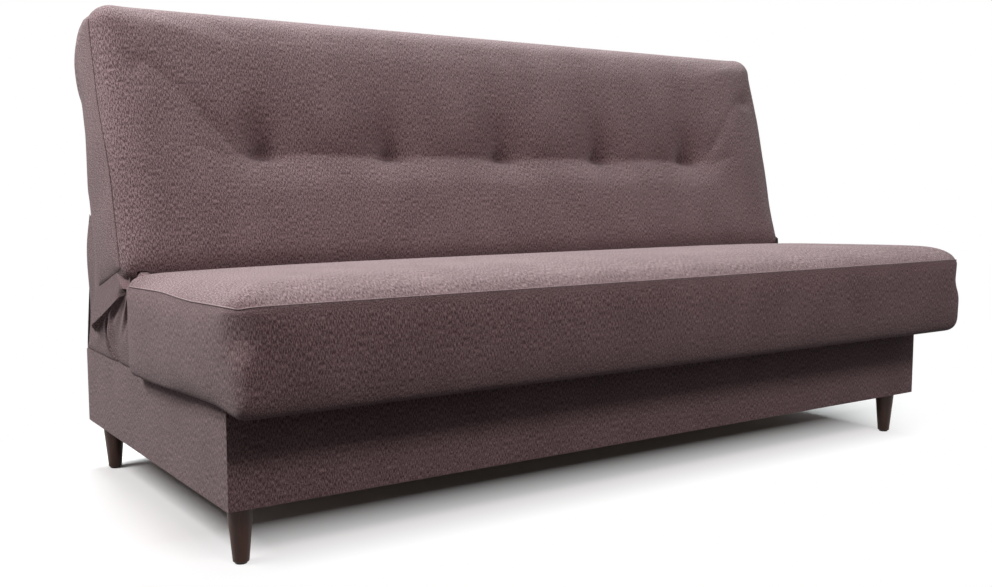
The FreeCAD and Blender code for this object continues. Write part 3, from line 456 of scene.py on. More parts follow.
# %% Finishes for the parts of the frame
FINISHES = {
    "box_front_board": CHIPBOARD, "box_rear_board": CHIPBOARD, "box_left_board": CHIPBOARD,
    "box_right_board": CHIPBOARD, "bottom_bearers": PINE_DEEP, "corner_blocks": PINE_UPRIGHT,
    "box_bottom_panel": HARDBOARD, "leg_studs": ZINC, "leg_glides": PLASTIC,
    "base_plate_left": PLATE_PAINT, "base_plate_right": PLATE_PAINT, "pivot_bolts": ZINC,
    "pivot_nuts": ZINC, "pawl_pins": ZINC, "plate_screws": ZINC, "pawl_springs": SPRING_WIRE,
    "seat_rear_rail": PINE_ACROSS, "seat_front_rail": PINE_ACROSS, "seat_end_rails": PINE_DEEP,
    "seat_cross_rail": PINE_DEEP, "seat_dust_cloth": DUST_CLOTH, "seat_springs": SPRING_WIRE,
    "seat_felt": FELT, "seat_arm_left": PLATE_PAINT, "seat_arm_right": PLATE_PAINT,
    "seat_arm_screws": ZINC, "back_lower_rail": PINE_ACROSS, "back_upper_rail": PINE_ACROSS,
    "back_end_rails": PINE_DEEP, "back_cross_rail": PINE_DEEP, "back_rear_cloth": CLOTH_PLAIN,
    "back_webbing": WEBBING, "tuft_twines": TWINE, "tuft_toggles": PLASTIC,
    "back_arm_left": PLATE_PAINT, "back_arm_right": PLATE_PAINT, "back_arm_screws": ZINC,
    "pawl_left": PLATE_PAINT, "pawl_right": PLATE_PAINT,
}


def dress(piece, material):
    piece.data.materials.clear()
    piece.data.materials.append(material)


for node_name, material in FINISHES.items():
    dress(frame["nodes"][node_name], material)
print("finished", len(FINISHES), "parts of the frame")

# %% [markdown]
# A cushion starts as a cube, as it would by hand. It is stretched to the cushion's size, its
# future seams are marked on its edges, and it is cut into cells of about a centimetre. Because
# the cube's own edges become the seams, they stay neat rows of edges through everything that
# follows.


# %% A box cut into even cells, with seams on some of its edges
def gridded_box(name, low, high, cell, is_seam):
    low, high = Vector(low), Vector(high)
    deselect()
    bpy.ops.mesh.primitive_cube_add(size=1, location=(low + high) / 2, scale=high - low)
    piece = bpy.context.object
    piece.name = name
    bpy.ops.object.transform_apply(location=True, rotation=True, scale=True)
    points = points_of(piece)
    middles = points[edge_ends(piece)].mean(axis=1)
    edit(piece)
    pick(piece, edges=[is_seam(middle) for middle in middles])
    bpy.ops.mesh.mark_seam()
    for axis in range(3):
        cuts = max(round((high - low)[axis] / cell / 2) - 1, 1)
        for number in (1, cuts):
            bpy.ops.object.mode_set(mode="OBJECT")
            ends = edge_ends(piece)
            points = points_of(piece)
            along = np.abs(points[ends[:, 0]] - points[ends[:, 1]])
            bpy.ops.object.mode_set(mode="EDIT")
            pick(piece, edges=along[:, axis] > along.sum(axis=1) * 0.5)
            bpy.ops.mesh.subdivide(number_cuts=number)
    close_edit()
    return piece


def lay_cloth_map(piece):
    """Give each side of a gridded box its own flat piece of cloth, in metres."""
    layer = piece.data.uv_layers.get("cloth") or piece.data.uv_layers.new(name="cloth")
    points = points_of(piece)
    normals = np.empty(len(piece.data.polygons) * 3)
    piece.data.polygons.foreach_get("normal", normals)
    facing = np.abs(normals.reshape(-1, 3)).argmax(axis=1)
    corners = np.empty(len(piece.data.loops), int)
    piece.data.loops.foreach_get("vertex_index", corners)
    counts = np.empty(len(piece.data.polygons), int)
    piece.data.polygons.foreach_get("loop_total", counts)
    facing = np.repeat(facing, counts)
    across = np.where(facing == 0, points[corners, 1], points[corners, 0])
    along = np.where(facing == 2, points[corners, 1], points[corners, 2])
    layer.data.foreach_set("uv", np.stack([across, along], axis=1).ravel())


# %% [markdown]
# A soft edge isn't a quarter circle. The cover's seam sits low on the side, and the top panel
# rolls far over to reach it. `soft_box` wraps the outer cells of the box round such edges: the
# cap is the panel that the seam runs round, and its angle says how far it rolls over.


# %% Rolling the edges of a box
def soft_box(points, cap, cap_angle, reach, radii, on_cap):
    """Wrap the outer cells of a gridded box round its edges.

    reach holds how far each point is into the edge along each axis, from -1 to 1. radii are the
    edge's radii at each point, and points the places where the edge starts.
    """
    others = [axis for axis in range(3) if axis != cap]
    size = np.abs(reach)
    first, second = size[:, others[0]], size[:, others[1]]
    larger = np.maximum(first, second)
    smaller = np.minimum(first, second)
    ratio = smaller / np.maximum(larger, 1e-9)
    direction = np.zeros_like(points)
    long_cap = np.tan(cap_angle * larger)
    short_cap = long_cap * np.tan(pi / 4 * ratio)
    short_side = np.tan(pi / 4 * smaller)
    first_leads = first >= second
    for axis, leads in ((others[0], first_leads), (others[1], ~first_leads)):
        on_side = np.where(leads, 1.0, short_side)
        direction[:, axis] = np.where(on_cap, np.where(leads, long_cap, short_cap), on_side)
    direction[:, cap] = np.where(on_cap, 1.0, np.tan((pi / 2 - cap_angle) * size[:, cap]))
    direction /= np.linalg.norm(direction, axis=1)[:, None]
    return points + np.sign(reach) * direction * radii


# %% [markdown]
# The two halves differ in a few sizes only. The seat's seam runs round its top panel. The back's
# front panel rolls over its top edge without a seam, and a cheek is sewn in at each end.
#
# For each half, `run` is the way it runs from the joint, `turn` the angle to which it is folded
# up, and `cap` the axis of the panel that its seam runs round. `top_far` and `low_far` are the
# roundings of its far edge, in depth and in height.

# %% The shapes of the two halves
HALVES = {
    "seat": {
        "run": -1, "turn": -SEAT_TILT, "cap": 2, "cell": 0.0125,
        "top_far": (0.052, 0.038), "low_far": (0.034, 0.034), "end_low": 0.016,
    },
    "back": {
        "run": 1, "turn": FOLD_ANGLE, "cap": 0, "cell": 0.0115,
        "top_far": (0.054, 0.049), "low_far": (0.084, 0.084), "end_low": 0.02,
    },
}
JOINT_SHOULDER = (0.032, 0.026)
JOINT_LOW_ROUND = 0.01
JOINT_END_ROUND = 0.02
END_ROUND = 0.05
CROWN = 0.011
SEAM_ROLL = radians(71)
CHEEK_ROLL = radians(16)
EVEN_ROLL = radians(45)
TUFT_HEIGHT = 0.266
TUFT_SPACING = 0.311
TUFTS = [step * TUFT_SPACING for step in (-2, -1, 0, 1, 2)]
TUFT_CROWDING = 0.55
TUFT_CROWDING_REACH = 0.06
PIT_DEPTH = 0.057
PIT_WIDTH = 0.028
PIT_REACH_UP = 0.046
PIT_REACH_DOWN = 0.011
VALLEY_DEPTH = 0.014
VALLEY_REACH_UP = 0.060
VALLEY_REACH_DOWN = 0.022
VALLEY_END = 0.11
REAR_BULGE = 0.028
REAR_BULGE_START = 0.415
BACK_STRETCH = 0.012
BACK_DRAWN_IN = {"left": 0.0, "right": 0.02}
BACK_SPREAD = {"left": 0.004, "right": 0.018}
LIP_START = 0.45
LIP_NARROWING = 0.009
LIP_TUCK = 0.006
LIP_DROP = 0.013
LINING_HALF_WIDTH = 0.924
LINING_START = 0.012
LINING_END = {"seat": 0.52, "back": 0.39}
LINING_LIFT = 0.0028
print("five tufts at", [round(place, 3) for place in TUFTS])


def cushion_blank(half):
    """One half of the mattress, flat about the hinge line, with soft edges and a crown."""
    facts = HALVES[half]
    run = facts["run"]
    near, far = JOINT_GAP, DEPTH
    low, top = -THICKNESS, SHOULDER_RISE
    depth_span = sorted((run * near, run * far))
    corner_low = (-HALF_WIDTH, depth_span[0], low)
    corner_high = (HALF_WIDTH, depth_span[1], top)

    def is_seam(middle):
        if facts["cap"] == 2:
            return middle[2] > top - NEARLY
        return abs(middle[0]) > HALF_WIDTH - NEARLY

    piece = gridded_box(f"{half}_cushion", corner_low, corner_high, facts["cell"], is_seam)
    points = points_of(piece)
    if half == "back":
        off = TUFT_HEIGHT - points[:, 1]
        points[:, 1] += TUFT_CROWDING * off * np.exp(-((off / TUFT_CROWDING_REACH) ** 2))
        set_points(piece, points)
    lay_cloth_map(piece)
    x, u, n = points[:, 0].copy(), run * points[:, 1], points[:, 2].copy()
    upper = rise(n, -0.11, 0.05)
    outer = rise(u, 0.2, 0.2)
    far_round = mixed(facts["low_far"][0], facts["top_far"][0], upper)
    top_round = mixed(JOINT_SHOULDER[1], facts["top_far"][1], outer)
    low_round = mixed(JOINT_LOW_ROUND, facts["low_far"][1], outer)
    end_round = mixed(facts["end_low"], END_ROUND, upper)
    end_round = mixed(JOINT_END_ROUND, end_round, rise(u, 0.02, 0.13))
    near_round = np.full_like(x, JOINT_SHOULDER[0])

    def into(distance, radius):
        return np.clip(distance / radius, 0, 1)

    reach_u = into(u - (far - far_round), far_round) - into(near + near_round - u, near_round)
    reach_n = into(n - (top - top_round), top_round) - into(low + low_round - n, low_round)
    reach_x = np.sign(x) * into(np.abs(x) - (HALF_WIDTH - end_round), end_round)
    reach = np.stack([reach_x, reach_u, reach_n], axis=1)
    radii = np.stack(
        [
            end_round,
            np.where(reach_u > 0, far_round, near_round),
            np.where(reach_n > 0, top_round, low_round),
        ],
        axis=1,
    )
    inner = np.stack([x, u, n], axis=1) - reach * radii
    if facts["cap"] == 2:
        on_cap = (n > top - TOUCH) | (n < low + TOUCH)
        roll = np.where(n > (top + low) / 2, SEAM_ROLL, EVEN_ROLL)
    else:
        on_cap = np.abs(x) > HALF_WIDTH - TOUCH
        roll = np.full_like(x, CHEEK_ROLL)
    soft = soft_box(inner, facts["cap"], roll, reach, radii, on_cap)
    x, u, n = soft.T
    across = 1 - np.clip(np.abs(x) / HALF_WIDTH, 0, 1) ** 5
    depth_share = np.clip((u - near) / (far - near), 0, 1)
    crown = CROWN * across * (1 - (2 * depth_share - 1) ** 4)
    n = n + crown * rise(n, -0.02, 0.02)
    if half == "back":
        x, u, n = shape_back(x, u, n)
    else:
        lip = ease(-n / THICKNESS) * rise(u, LIP_START, 0.1)
        x = x * (1 - LIP_NARROWING * lip)
        u = u - LIP_TUCK * lip
        n = n - LIP_DROP * lip
    lining = (np.abs(x) < LINING_HALF_WIDTH) & (n < -THICKNESS + NEARLY)
    lining = lining & (u > LINING_START) & (u < LINING_END[half])
    n = np.where(lining, n + LINING_LIFT, n)
    set_points(piece, np.stack([x, run * u, n], axis=1))
    return piece


def shape_back(x, u, n):
    """The back's tufts, the bulge of its rear side, and the slant of its ends."""
    n = n - tuft_sink(x, u) * rise(n, -0.02, 0.02)
    bulge_share = (u - REAR_BULGE_START) / (DEPTH - REAR_BULGE_START)
    bulge = REAR_BULGE * np.sin(pi * np.clip(bulge_share, 0, 1) ** 0.8)
    n = n - bulge * ease((-0.06 - n) / 0.1)
    u = u + BACK_STRETCH * rise(u, 0.3, 0.25)
    drawn_in = np.where(x > 0, BACK_DRAWN_IN["right"], BACK_DRAWN_IN["left"]) * ease(1 - u / 0.3)
    spread = np.where(x > 0, BACK_SPREAD["right"], BACK_SPREAD["left"]) * rise(u, 0.2, 0.2)
    x = x + np.sign(x) * (spread - drawn_in) * rise(np.abs(x), 0.5, 0.4)
    return x, u, n


def tuft_sink(x, u):
    """How far the back's face is drawn in: five pits, and a valley with a steep lower side."""
    drop = u - TUFT_HEIGHT
    beyond = rise(np.abs(x), TUFTS[-1], VALLEY_END)
    reach = np.where(drop > 0, VALLEY_REACH_UP, VALLEY_REACH_DOWN)
    sink = VALLEY_DEPTH * np.exp(-((np.abs(drop) / reach) ** 1.3)) * (1 - beyond)
    reach = np.where(drop > 0, PIT_REACH_UP, PIT_REACH_DOWN)
    for place in TUFTS:
        away = np.hypot((x - place) / PIT_WIDTH, drop / reach)
        sink = sink + PIT_DEPTH * np.exp(-away)
    return sink


# %% [markdown]
# Then the filling pushes. Blender's Cloth gives the cover tension and the pressure of the foam
# inside, while the seams, the underside that is stapled to the frame and the tuft knots are held.
# The settled cloth swells between what holds it, so every panel gets its own slight fullness. A
# limit on how far a point may go keeps the cushion its real size.


# %% Letting the cover settle on its filling
FILLING_PRESSURE = 4.0
SETTLE_FRAMES = 14
SETTLE_LIMIT = 0.006


def settle_cloth(piece, held):
    before = points_of(piece)
    group = piece.vertex_groups.new(name="held")
    group.add([int(i) for i in np.flatnonzero(held)], 1.0, "REPLACE")
    cloth = piece.modifiers.new("cloth", "CLOTH")
    settings = cloth.settings
    settings.quality = 5
    settings.mass = 0.3
    settings.tension_stiffness = 18
    settings.compression_stiffness = 18
    settings.shear_stiffness = 8
    settings.bending_stiffness = 1.5
    settings.use_pressure = True
    settings.uniform_pressure_force = FILLING_PRESSURE
    settings.effector_weights.gravity = 0
    settings.vertex_group_mass = "held"
    cloth.point_cache.frame_start = 1
    cloth.point_cache.frame_end = SETTLE_FRAMES
    scene = bpy.context.scene
    scene.frame_start = 1
    scene.frame_end = SETTLE_FRAMES
    for number in range(1, SETTLE_FRAMES + 1):
        scene.frame_set(number)
    finish_modifiers(piece)
    scene.frame_set(1)
    move = points_of(piece) - before
    length = np.linalg.norm(move, axis=1)
    share = SETTLE_LIMIT * np.tanh(length / SETTLE_LIMIT) / np.maximum(length, 1e-9)
    set_points(piece, before + move * share[:, None])
    piece.vertex_groups.remove(piece.vertex_groups["held"])
    print(piece.name, "settled by up to", round(float(length.max()) * 1000, 1), "mm")


def seam_edges(piece):
    seams = np.empty(len(piece.data.edges), bool)
    piece.data.edges.foreach_get("use_seam", seams)
    return seams


def seam_points(piece):
    marked = np.zeros(len(piece.data.vertices), bool)
    marked[edge_ends(piece)[seam_edges(piece)].ravel()] = True
    return marked


# %% [markdown]
# The seat and the back go through the same steps: blank, held points, cloth, a round of
# subdivision for a smooth skin, and last the slots for the hinge plates, cut with a boolean as a
# knife would cut the foam. Each step of a slot is given by where it starts and ends in height,
# and by how far it reaches to either side of the hinge line.


# %% The slots that the hinge plates need
SLOT_STEPS = {
    "seat": ((-0.3, -0.034, 0.068), (-0.034, 0.004, 0.046), (0.004, 0.1, 0.0158)),
    "back": ((-0.3, -0.034, 0.068), (-0.034, 0.004, 0.026), (0.004, 0.1, 0.0158)),
}
SLOT_MARGIN = 0.002


def slot_block(half, side):
    """A block in three steps: wide low down and narrow at the hinge's eyes."""
    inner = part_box("base_plate_right")[0].x - SLOT_MARGIN
    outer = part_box("pivot_nuts")[1].x + SLOT_MARGIN
    middle = side * (inner + outer) / 2
    deselect()
    bpy.ops.mesh.primitive_cube_add(size=1, location=(middle, 0, 0))
    block = bpy.context.object
    (low, high, reach), *upper = SLOT_STEPS[half]
    block.scale = (outer - inner, 2 * reach, high - low)
    block.location.z = (low + high) / 2
    bpy.ops.object.transform_apply(location=True, rotation=True, scale=True)
    edit(block, "FACE")
    pick(block, faces=[p.center.z > high - TOUCH for p in block.data.polygons])
    for _, top, next_reach in upper:
        bpy.ops.mesh.extrude_region_move()
        bpy.ops.transform.resize(value=(1, next_reach / reach, 1))
        bpy.ops.mesh.extrude_region_move(TRANSFORM_OT_translate={"value": (0, 0, top - high)})
        reach, high = next_reach, top
    close_edit()
    return block


def cut_slots(piece, half):
    blocks = [slot_block(half, side) for side in (-1, 1)]
    deselect()
    for block in blocks:
        block.select_set(True)
    bpy.context.view_layer.objects.active = blocks[0]
    bpy.ops.object.join()
    boolean = piece.modifiers.new("slot", "BOOLEAN")
    boolean.operation = "DIFFERENCE"
    boolean.solver = "EXACT"
    boolean.object = blocks[0]
    finish_modifiers(piece)
    bpy.data.objects.remove(blocks[0])


def soften_skin(piece, crease):
    """Subdivide once, with the seams kept crisp."""
    creases = piece.data.attributes.new("crease_edge", "FLOAT", "EDGE")
    creases.data.foreach_set("value", seam_edges(piece).astype(np.float32) * crease)
    skin = piece.modifiers.new("skin", "SUBSURF")
    skin.levels = skin.render_levels = 1
    finish_modifiers(piece)


def seam_line(piece, name, wanted, radius, material, lift=0.0):
    """A round tube that lies along part of a piece's seams: a fold, or a line of painted shade in
    a groove.
    """
    points = points_of(piece)
    ends = edge_ends(piece)
    middles = points[ends].mean(axis=1)
    normals = normals_of(piece)
    chosen = seam_edges(piece) & wanted(middles)
    edit(piece)
    pick(piece, edges=chosen)
    bpy.ops.mesh.duplicate()
    bpy.ops.mesh.separate(type="SELECTED")
    close_edit()
    line = [o for o in bpy.context.selected_objects if o != piece][0]
    line.name = name
    if lift:
        lookup = {tuple(np.round(p, 6)): n for p, n in zip(points, normals)}
        moved = points_of(line)
        outward = np.array([lookup.get(tuple(np.round(p, 6)), (0, 0, 0)) for p in moved])
        set_points(line, moved + outward * lift)
    focus(line)
    bpy.ops.object.convert(target="CURVE")
    line.data.bevel_depth = radius
    line.data.bevel_resolution = 1
    bpy.ops.object.convert(target="MESH")
    dress(line, material)
    smooth(line)
    return line


STAPLED_HEIGHT = 0.004
JOINT_HOLD = 0.012
TUFT_HOLD = 0.009


def make_cushion(half, groove, crease):
    piece = cushion_blank(half)
    held = seam_points(piece)
    inward = normals_of(piece) * groove
    points = points_of(piece)
    points[held] -= inward[held]
    set_points(piece, points)
    underside = points[:, 2] < -THICKNESS + STAPLED_HEIGHT
    held = held | underside | (np.abs(points[:, 1]) < JOINT_HOLD)
    if half == "back":
        for place in TUFTS:
            away = np.hypot(points[:, 0] - place, points[:, 1] - TUFT_HEIGHT)
            held = held | ((away < TUFT_HOLD) & (points[:, 2] > -0.1))
    settle_cloth(piece, held)
    soften_skin(piece, crease)
    dress(piece, CLOTH)
    print(piece.name, len(piece.data.polygons), "faces")
    return piece


# %% [markdown]
# The seat. Its top panel is joined to the side panel by a felled seam: the edge is folded over
# and stitched down, so a thin fold stands up along the front with a dark line under it. The
# fold is coloured paler than the fabric: a painted highlight along its ridge.

# %% The seat cushion
seat = make_cushion("seat", groove=0.0022, crease=0.7)
seat_fold = seam_line(
    seat, "seat_seam_fold", lambda m: m[:, 1] < -0.04, 0.0012, FOLD_PAINTED_HIGHLIGHT, lift=0.0016
)
cut_slots(seat, "seat")
smooth(seat, 60)
for piece in (seat, seat_fold):
    settle(piece, HINGE, (HALVES["seat"]["turn"], 0, 0))
    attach(piece, "seat")
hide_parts("seat_cover", "seat_foam")

# %% [markdown]
# The back. Five tufts are pulled in by twine and sit in deep pits, and the cloth between them
# falls into a soft valley. The cheeks at its ends are sewn in, and a thin dark tube along the
# seam is painted shade for the seam's groove.

# %% The back cushion
back = make_cushion("back", groove=0.0026, crease=0.8)
back_seam_shade = seam_line(back, "back_seam_painted_shade", lambda m: m[:, 2] > -0.17, 0.0008, SEAM_GROOVE_PAINTED_SHADE)
cut_slots(back, "back")
smooth(back, 60)
for piece in (back, back_seam_shade):
    settle(piece, HINGE, (HALVES["back"]["turn"], 0, 0))
    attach(piece, "back")
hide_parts("back_cover", "back_foam")

# %% [markdown]
# The box's cover is glued and stapled to the boards, so it is flat, with its corners pulled round
# at a small radius. Its upper edge follows the seat's slope, and is turned in over the boards and
# down behind them: two rows of cells are drawn out of the rim for that.


# %% The bedding box's cover
BOARD = 0.0175
COVER_CORNER = 0.003
COVER_CELL = 0.02
COVER_CLEAR = 0.0001
TURN_IN_STEP = 0.01
TURN_IN_CLEAR = 0.0018
TURN_IN_DROP = 0.025


def box_cover():
    low, high = BOX_LOW, BOX_HIGH
    piece = gridded_box("box_cover_cloth", low, high, COVER_CELL, lambda middle: False)
    edit(piece, "FACE")
    pick(piece, faces=[abs(p.normal.z) > 0.5 for p in piece.data.polygons])
    bpy.ops.mesh.delete(type="FACE")
    close_edit()
    edit(piece)
    ends = points_of(piece)[edge_ends(piece)]
    pick(piece, edges=ends[:, :, 2].min(axis=1) > high.z - TOUCH)
    for _ in range(2):
        bpy.ops.mesh.extrude_region_move(TRANSFORM_OT_translate={"value": (0, 0, TURN_IN_STEP)})
    close_edit()
    lay_cloth_map(piece)
    points = points_of(piece)
    extra = np.round((points[:, 2] - high.z) / TURN_IN_STEP)
    height_share = np.clip((points[:, 2] - low.z) / (high.z - low.z), 0, 1)
    slope = np.maximum(HINGE.y - points[:, 1], 0) * tan(SEAT_TILT)
    top = BOX_TOP + slope + COVER_CLEAR
    points[:, 2] = low.z + height_share * (top - low.z) - np.where(extra == 2, TURN_IN_DROP, 0)
    centre = np.array((low + high) / 2)[:2]
    half = np.array((high - low) / 2)[:2]
    offset = points[:, :2] - centre
    turned_in = np.where(extra > 0, BOARD + TURN_IN_CLEAR, 0)[:, None]
    inner = np.clip(offset, -(half - COVER_CORNER), half - COVER_CORNER)
    out = offset - inner
    length = np.linalg.norm(out, axis=1)[:, None]
    out = out / np.maximum(length, 1e-9) * COVER_CORNER
    folded = np.clip(offset, -(half - turned_in), half - turned_in)
    points[:, :2] = centre + np.where(turned_in > 0, folded, inner + out)
    set_points(piece, points)
    wall = piece.modifiers.new("wall", "SOLIDIFY")
    wall.thickness = COVER_CLEAR
    wall.offset = -1
    finish_modifiers(piece)
    dress(piece, CLOTH)
    smooth(piece, 50)
    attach(piece, "box")
    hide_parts("box_cover")
    return piece


box_cloth = box_cover()
print("box cover", len(box_cloth.data.polygons), "faces")

# %% [markdown]
# A leg is turned on a lathe: a cylinder drawn in towards the foot, with its edges broken. Here a
# cylinder's lower ring is scaled in, and the two rims are bevelled.


# %% The turned legs
LEG_TOP_RADIUS = 0.0235
LEG_FOOT_RADIUS = 0.014
LEG_RIM = 0.002


def turned_leg(name, x, y, top_z, foot_z, top_radius, foot_radius):
    deselect()
    bpy.ops.mesh.primitive_cylinder_add(
        vertices=64, radius=top_radius, depth=top_z - foot_z, location=(x, y, (top_z + foot_z) / 2)
    )
    leg = bpy.context.object
    leg.name = name
    bpy.ops.object.transform_apply(location=True, rotation=True, scale=True)
    edit(leg, "FACE")
    pick(leg, faces=[p.center.z < foot_z + NEARLY for p in leg.data.polygons])
    shrink = foot_radius / top_radius
    bpy.ops.transform.resize(value=(shrink, shrink, 1), center_override=(x, y, foot_z))
    close_edit()
    rims = leg.modifiers.new("rims", "BEVEL")
    rims.width = LEG_RIM
    rims.segments = 3
    rims.limit_method = "ANGLE"
    rims.angle_limit = radians(60)
    finish_modifiers(leg)
    dress(leg, LEG_WOOD)
    smooth(leg, 35)
    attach(leg, "box")
    return leg


for end in ("front", "rear"):
    leg_low, leg_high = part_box(f"{end}_legs")
    leg_x = leg_high.x - LEG_TOP_RADIUS
    leg_y = (leg_low.y + leg_high.y) / 2
    for side, sign in (("left", -1), ("right", 1)):
        leg = turned_leg(
            f"leg_{end}_{side}", sign * leg_x, leg_y, leg_high.z, leg_low.z,
            LEG_TOP_RADIUS, LEG_FOOT_RADIUS,
        )
        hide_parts(f"{end}_legs")
print("legs turned")

# %% [markdown]
# Loose cloths close the hinge. At each end a gusset fills the wedge between seat, back and box. It
# is gathered at the joint, so its folds run out from there like a fan, and one of them is a deep
# pleat. A sleeve of the same cloth covers the bolt's end. Both start as a grid.


# %% A grid of cloth, laid out by a rule
def cloth_grid(name, columns, rows, place):
    """A grid whose points go where place puts them; it takes and gives arrays."""
    deselect()
    bpy.ops.mesh.primitive_grid_add(x_subdivisions=columns, y_subdivisions=rows, size=1)
    piece = bpy.context.object
    piece.name = name
    points = points_of(piece) + 0.5
    across, along = points[:, 0].copy(), points[:, 1].copy()
    piece.data.uv_layers[0].name = "cloth"
    set_points(piece, np.stack(place(across, along), axis=1))
    return piece


def face_area(piece):
    return sum(polygon.area for polygon in piece.data.polygons)


def cloth_map_in_metres(piece, width, length):
    layer = piece.data.uv_layers["cloth"]
    places = np.empty(len(piece.data.loops) * 2)
    layer.data.foreach_get("uv", places)
    places = places.reshape(-1, 2) * (width, length)
    layer.data.foreach_set("uv", places.ravel())


# %% [markdown]
# The gusset's rim runs from the seat's heel along the box's edge, up inside the skirt and back
# to the lower edge of the back. Every ray from the joint to that rim is one line of the fan.

# %% The gussets
GUSSET_RIM = (
    (HINGE.y + 0.002, BOX_TOP + 0.001), (0.486, BOX_TOP + 0.001), (0.322, 0.580),
    (0.15, 0.52), (0.092, 0.484),
)
GUSSET_CENTRE = (HINGE.y + 0.004, HINGE.z - 0.020)
GUSSET_X = 0.917
GUSSET_SWELL = 0.019
CHEEK_SWELL = 0.028
CHEEK_X = 0.9465
NEAR_FACE_X = 0.932
CHEEK_FAN = 0.443
PLEAT_DEPTH = 0.030
PLEAT_WIDTH = 0.008
PLEAT_AT_RIM = 0.155
PLEAT_DRIFT = 0.354
GUSSET_GRID = (340, 40)
GUSSET_CLOTH = (0.7, 0.3)


def along_rim(share):
    rim = np.array(GUSSET_RIM)
    steps = np.linalg.norm(np.diff(rim, axis=0), axis=1)
    at = np.concatenate([[0], np.cumsum(steps)]) / steps.sum()
    return np.interp(share, at, rim[:, 0]), np.interp(share, at, rim[:, 1])


def ridge(share, place, width):
    return np.exp(-(((share - place) / width) ** 2))


def gusset_folds(fan, out):
    """How far the cloth stands out from its plane, in metres."""
    swell = np.sin(pi * np.clip(out, 0, 1) ** 0.8)
    path = PLEAT_AT_RIM + PLEAT_DRIFT * (1 - out)
    pleat = -PLEAT_DEPTH * ridge(fan, path, PLEAT_WIDTH) * rise(out, 0.3, 0.25)
    lips = 0.006 * ridge(fan, path + 0.026, 0.015) + 0.009 * ridge(fan, path - 0.037, 0.026)
    hollow = -0.010 * ridge(fan, 0.125, 0.022) * ease((0.75 - out) / 0.5)
    ripples = 0.0015 * np.sin(50 * fan + 3 * out)
    return pleat + (lips + hollow + ripples) * swell


def pouch(fan, out):
    """The cheek's loose cloth, which hangs over the joint and ends in a rolled fold."""
    inside = rise(fan + 0.03 * (1 - out), 0.422, 0.009)
    return inside * rise(out, 0.01, 0.06) * ease((0.8 - out) / 0.2)


def gusset(side, sign):
    def place(fan, out):
        rim_y, rim_z = along_rim(fan)
        share = 0.04 + 0.96 * out
        y = GUSSET_CENTRE[0] + (rim_y - GUSSET_CENTRE[0]) * share
        z = GUSSET_CENTRE[1] + (rim_z - GUSSET_CENTRE[1]) * share
        upper = rise(fan, CHEEK_FAN, 0.26)
        swell = GUSSET_SWELL * np.clip(1 - out, 0, 1) ** 0.5 * (1 - upper) + CHEEK_SWELL * upper
        x = GUSSET_X + swell + gusset_folds(fan, out) * (1 - upper)
        x = x + np.maximum(CHEEK_X - x, 0) * pouch(fan, out)
        x = x - (x - NEAR_FACE_X) * rise(fan, 0.86, 0.12)
        return sign * x, y, z

    piece = cloth_grid(f"gusset_cloth_{side}", *GUSSET_GRID, place)
    cloth_map_in_metres(piece, *GUSSET_CLOTH)
    return piece


SLEEVE_GRID = (24, 18)
SLEEVE_CLOTH = (0.06, 0.06)
SLEEVE_START = radians(30)
SLEEVE_TURN = radians(200)
SLEEVE_PROFILE = (
    (0.8955, 0.004), (0.897, 0.0142), (0.899, 0.0156), (0.912, 0.0156), (0.915, 0.0138),
    (0.919, 0.0095), (0.9205, 0.0020),
)


def sleeve(side, sign):
    def place(around, along):
        profile = np.array(SLEEVE_PROFILE)
        at = np.linspace(0, 1, len(profile))
        x = np.interp(along, at, profile[:, 0])
        radius = np.interp(along, at, profile[:, 1])
        angle = SLEEVE_START + around * SLEEVE_TURN
        return sign * x, HINGE.y + radius * np.cos(angle), HINGE.z + radius * np.sin(angle)

    piece = cloth_grid(f"sleeve_{side}", *SLEEVE_GRID, place)
    cloth_map_in_metres(piece, *SLEEVE_CLOTH)
    return piece


for side, sign in (("left", -1), ("right", 1)):
    cloth = gusset(side, sign)
    cover = sleeve(side, sign)
    deselect()
    cover.select_set(True)
    cloth.select_set(True)
    bpy.context.view_layer.objects.active = cloth
    bpy.ops.object.join()
    dress(cloth, CLOTH)
    smooth(cloth)
    area = face_area(cloth)
    print(cloth.name, "area", round(area, 4), "m2")
    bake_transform(cloth)
    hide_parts(f"gusset_{side}")
    area / 0.42

# %% [markdown]
# Behind, a skirt hangs from the back's rear to the box. It is held along two straight edges and
# waves a little between them. At its two ends it is gathered towards the gussets.


# %% The rear skirt
SKIRT_SLACK = 0.002
GATHER_START = 0.87
GATHER_OUT = 0.018
GATHER_UP = 0.03
SKIRT_OUTWARD = (0.79, 0.61)
SKIRT_GRID = (220, 24)
SKIRT_DROP = 0.33


def rear_skirt():
    low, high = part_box("rear_skirt")
    top = (low.y, high.z)
    foot = (high.y, low.z)

    def place(across, down):
        loose = np.sin(pi * down)
        x = (across - 0.5) * (high.x - low.x + 0.05 * (1 - down))
        at_end = rise(np.abs(x), GATHER_START, 0.06)
        wave = 0.0015 * np.sin(across * 23) + 0.001 * np.sin(across * 61 + 4 * down)
        out = (SKIRT_SLACK + wave) * loose + at_end * GATHER_OUT * (1 - down) ** 0.5
        y = mixed(top[0], foot[0], down) + out * SKIRT_OUTWARD[0]
        z = mixed(top[1], foot[1], down) + out * SKIRT_OUTWARD[1]
        return x, y, z + at_end * GATHER_UP * (1 - down)

    piece = cloth_grid("rear_skirt_cloth", *SKIRT_GRID, place)
    cloth_map_in_metres(piece, high.x - low.x, SKIRT_DROP)
    return piece


skirt = rear_skirt()
dress(skirt, CLOTH)
smooth(skirt)
print("skirt area", round(face_area(skirt), 4), "m2")
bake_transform(skirt)
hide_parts("rear_skirt")
face_area(skirt) / 1.834

# %% [markdown]
# The photographer's set: a white sweep, a large soft light overhead and a little behind, and a
# weaker one to the left, so the tops are brightest, the ends next and the fronts darkest. A faint
# fill comes from the front. The world lights the sofa softly from all round, and shows itself as
# plain white to the camera alone.

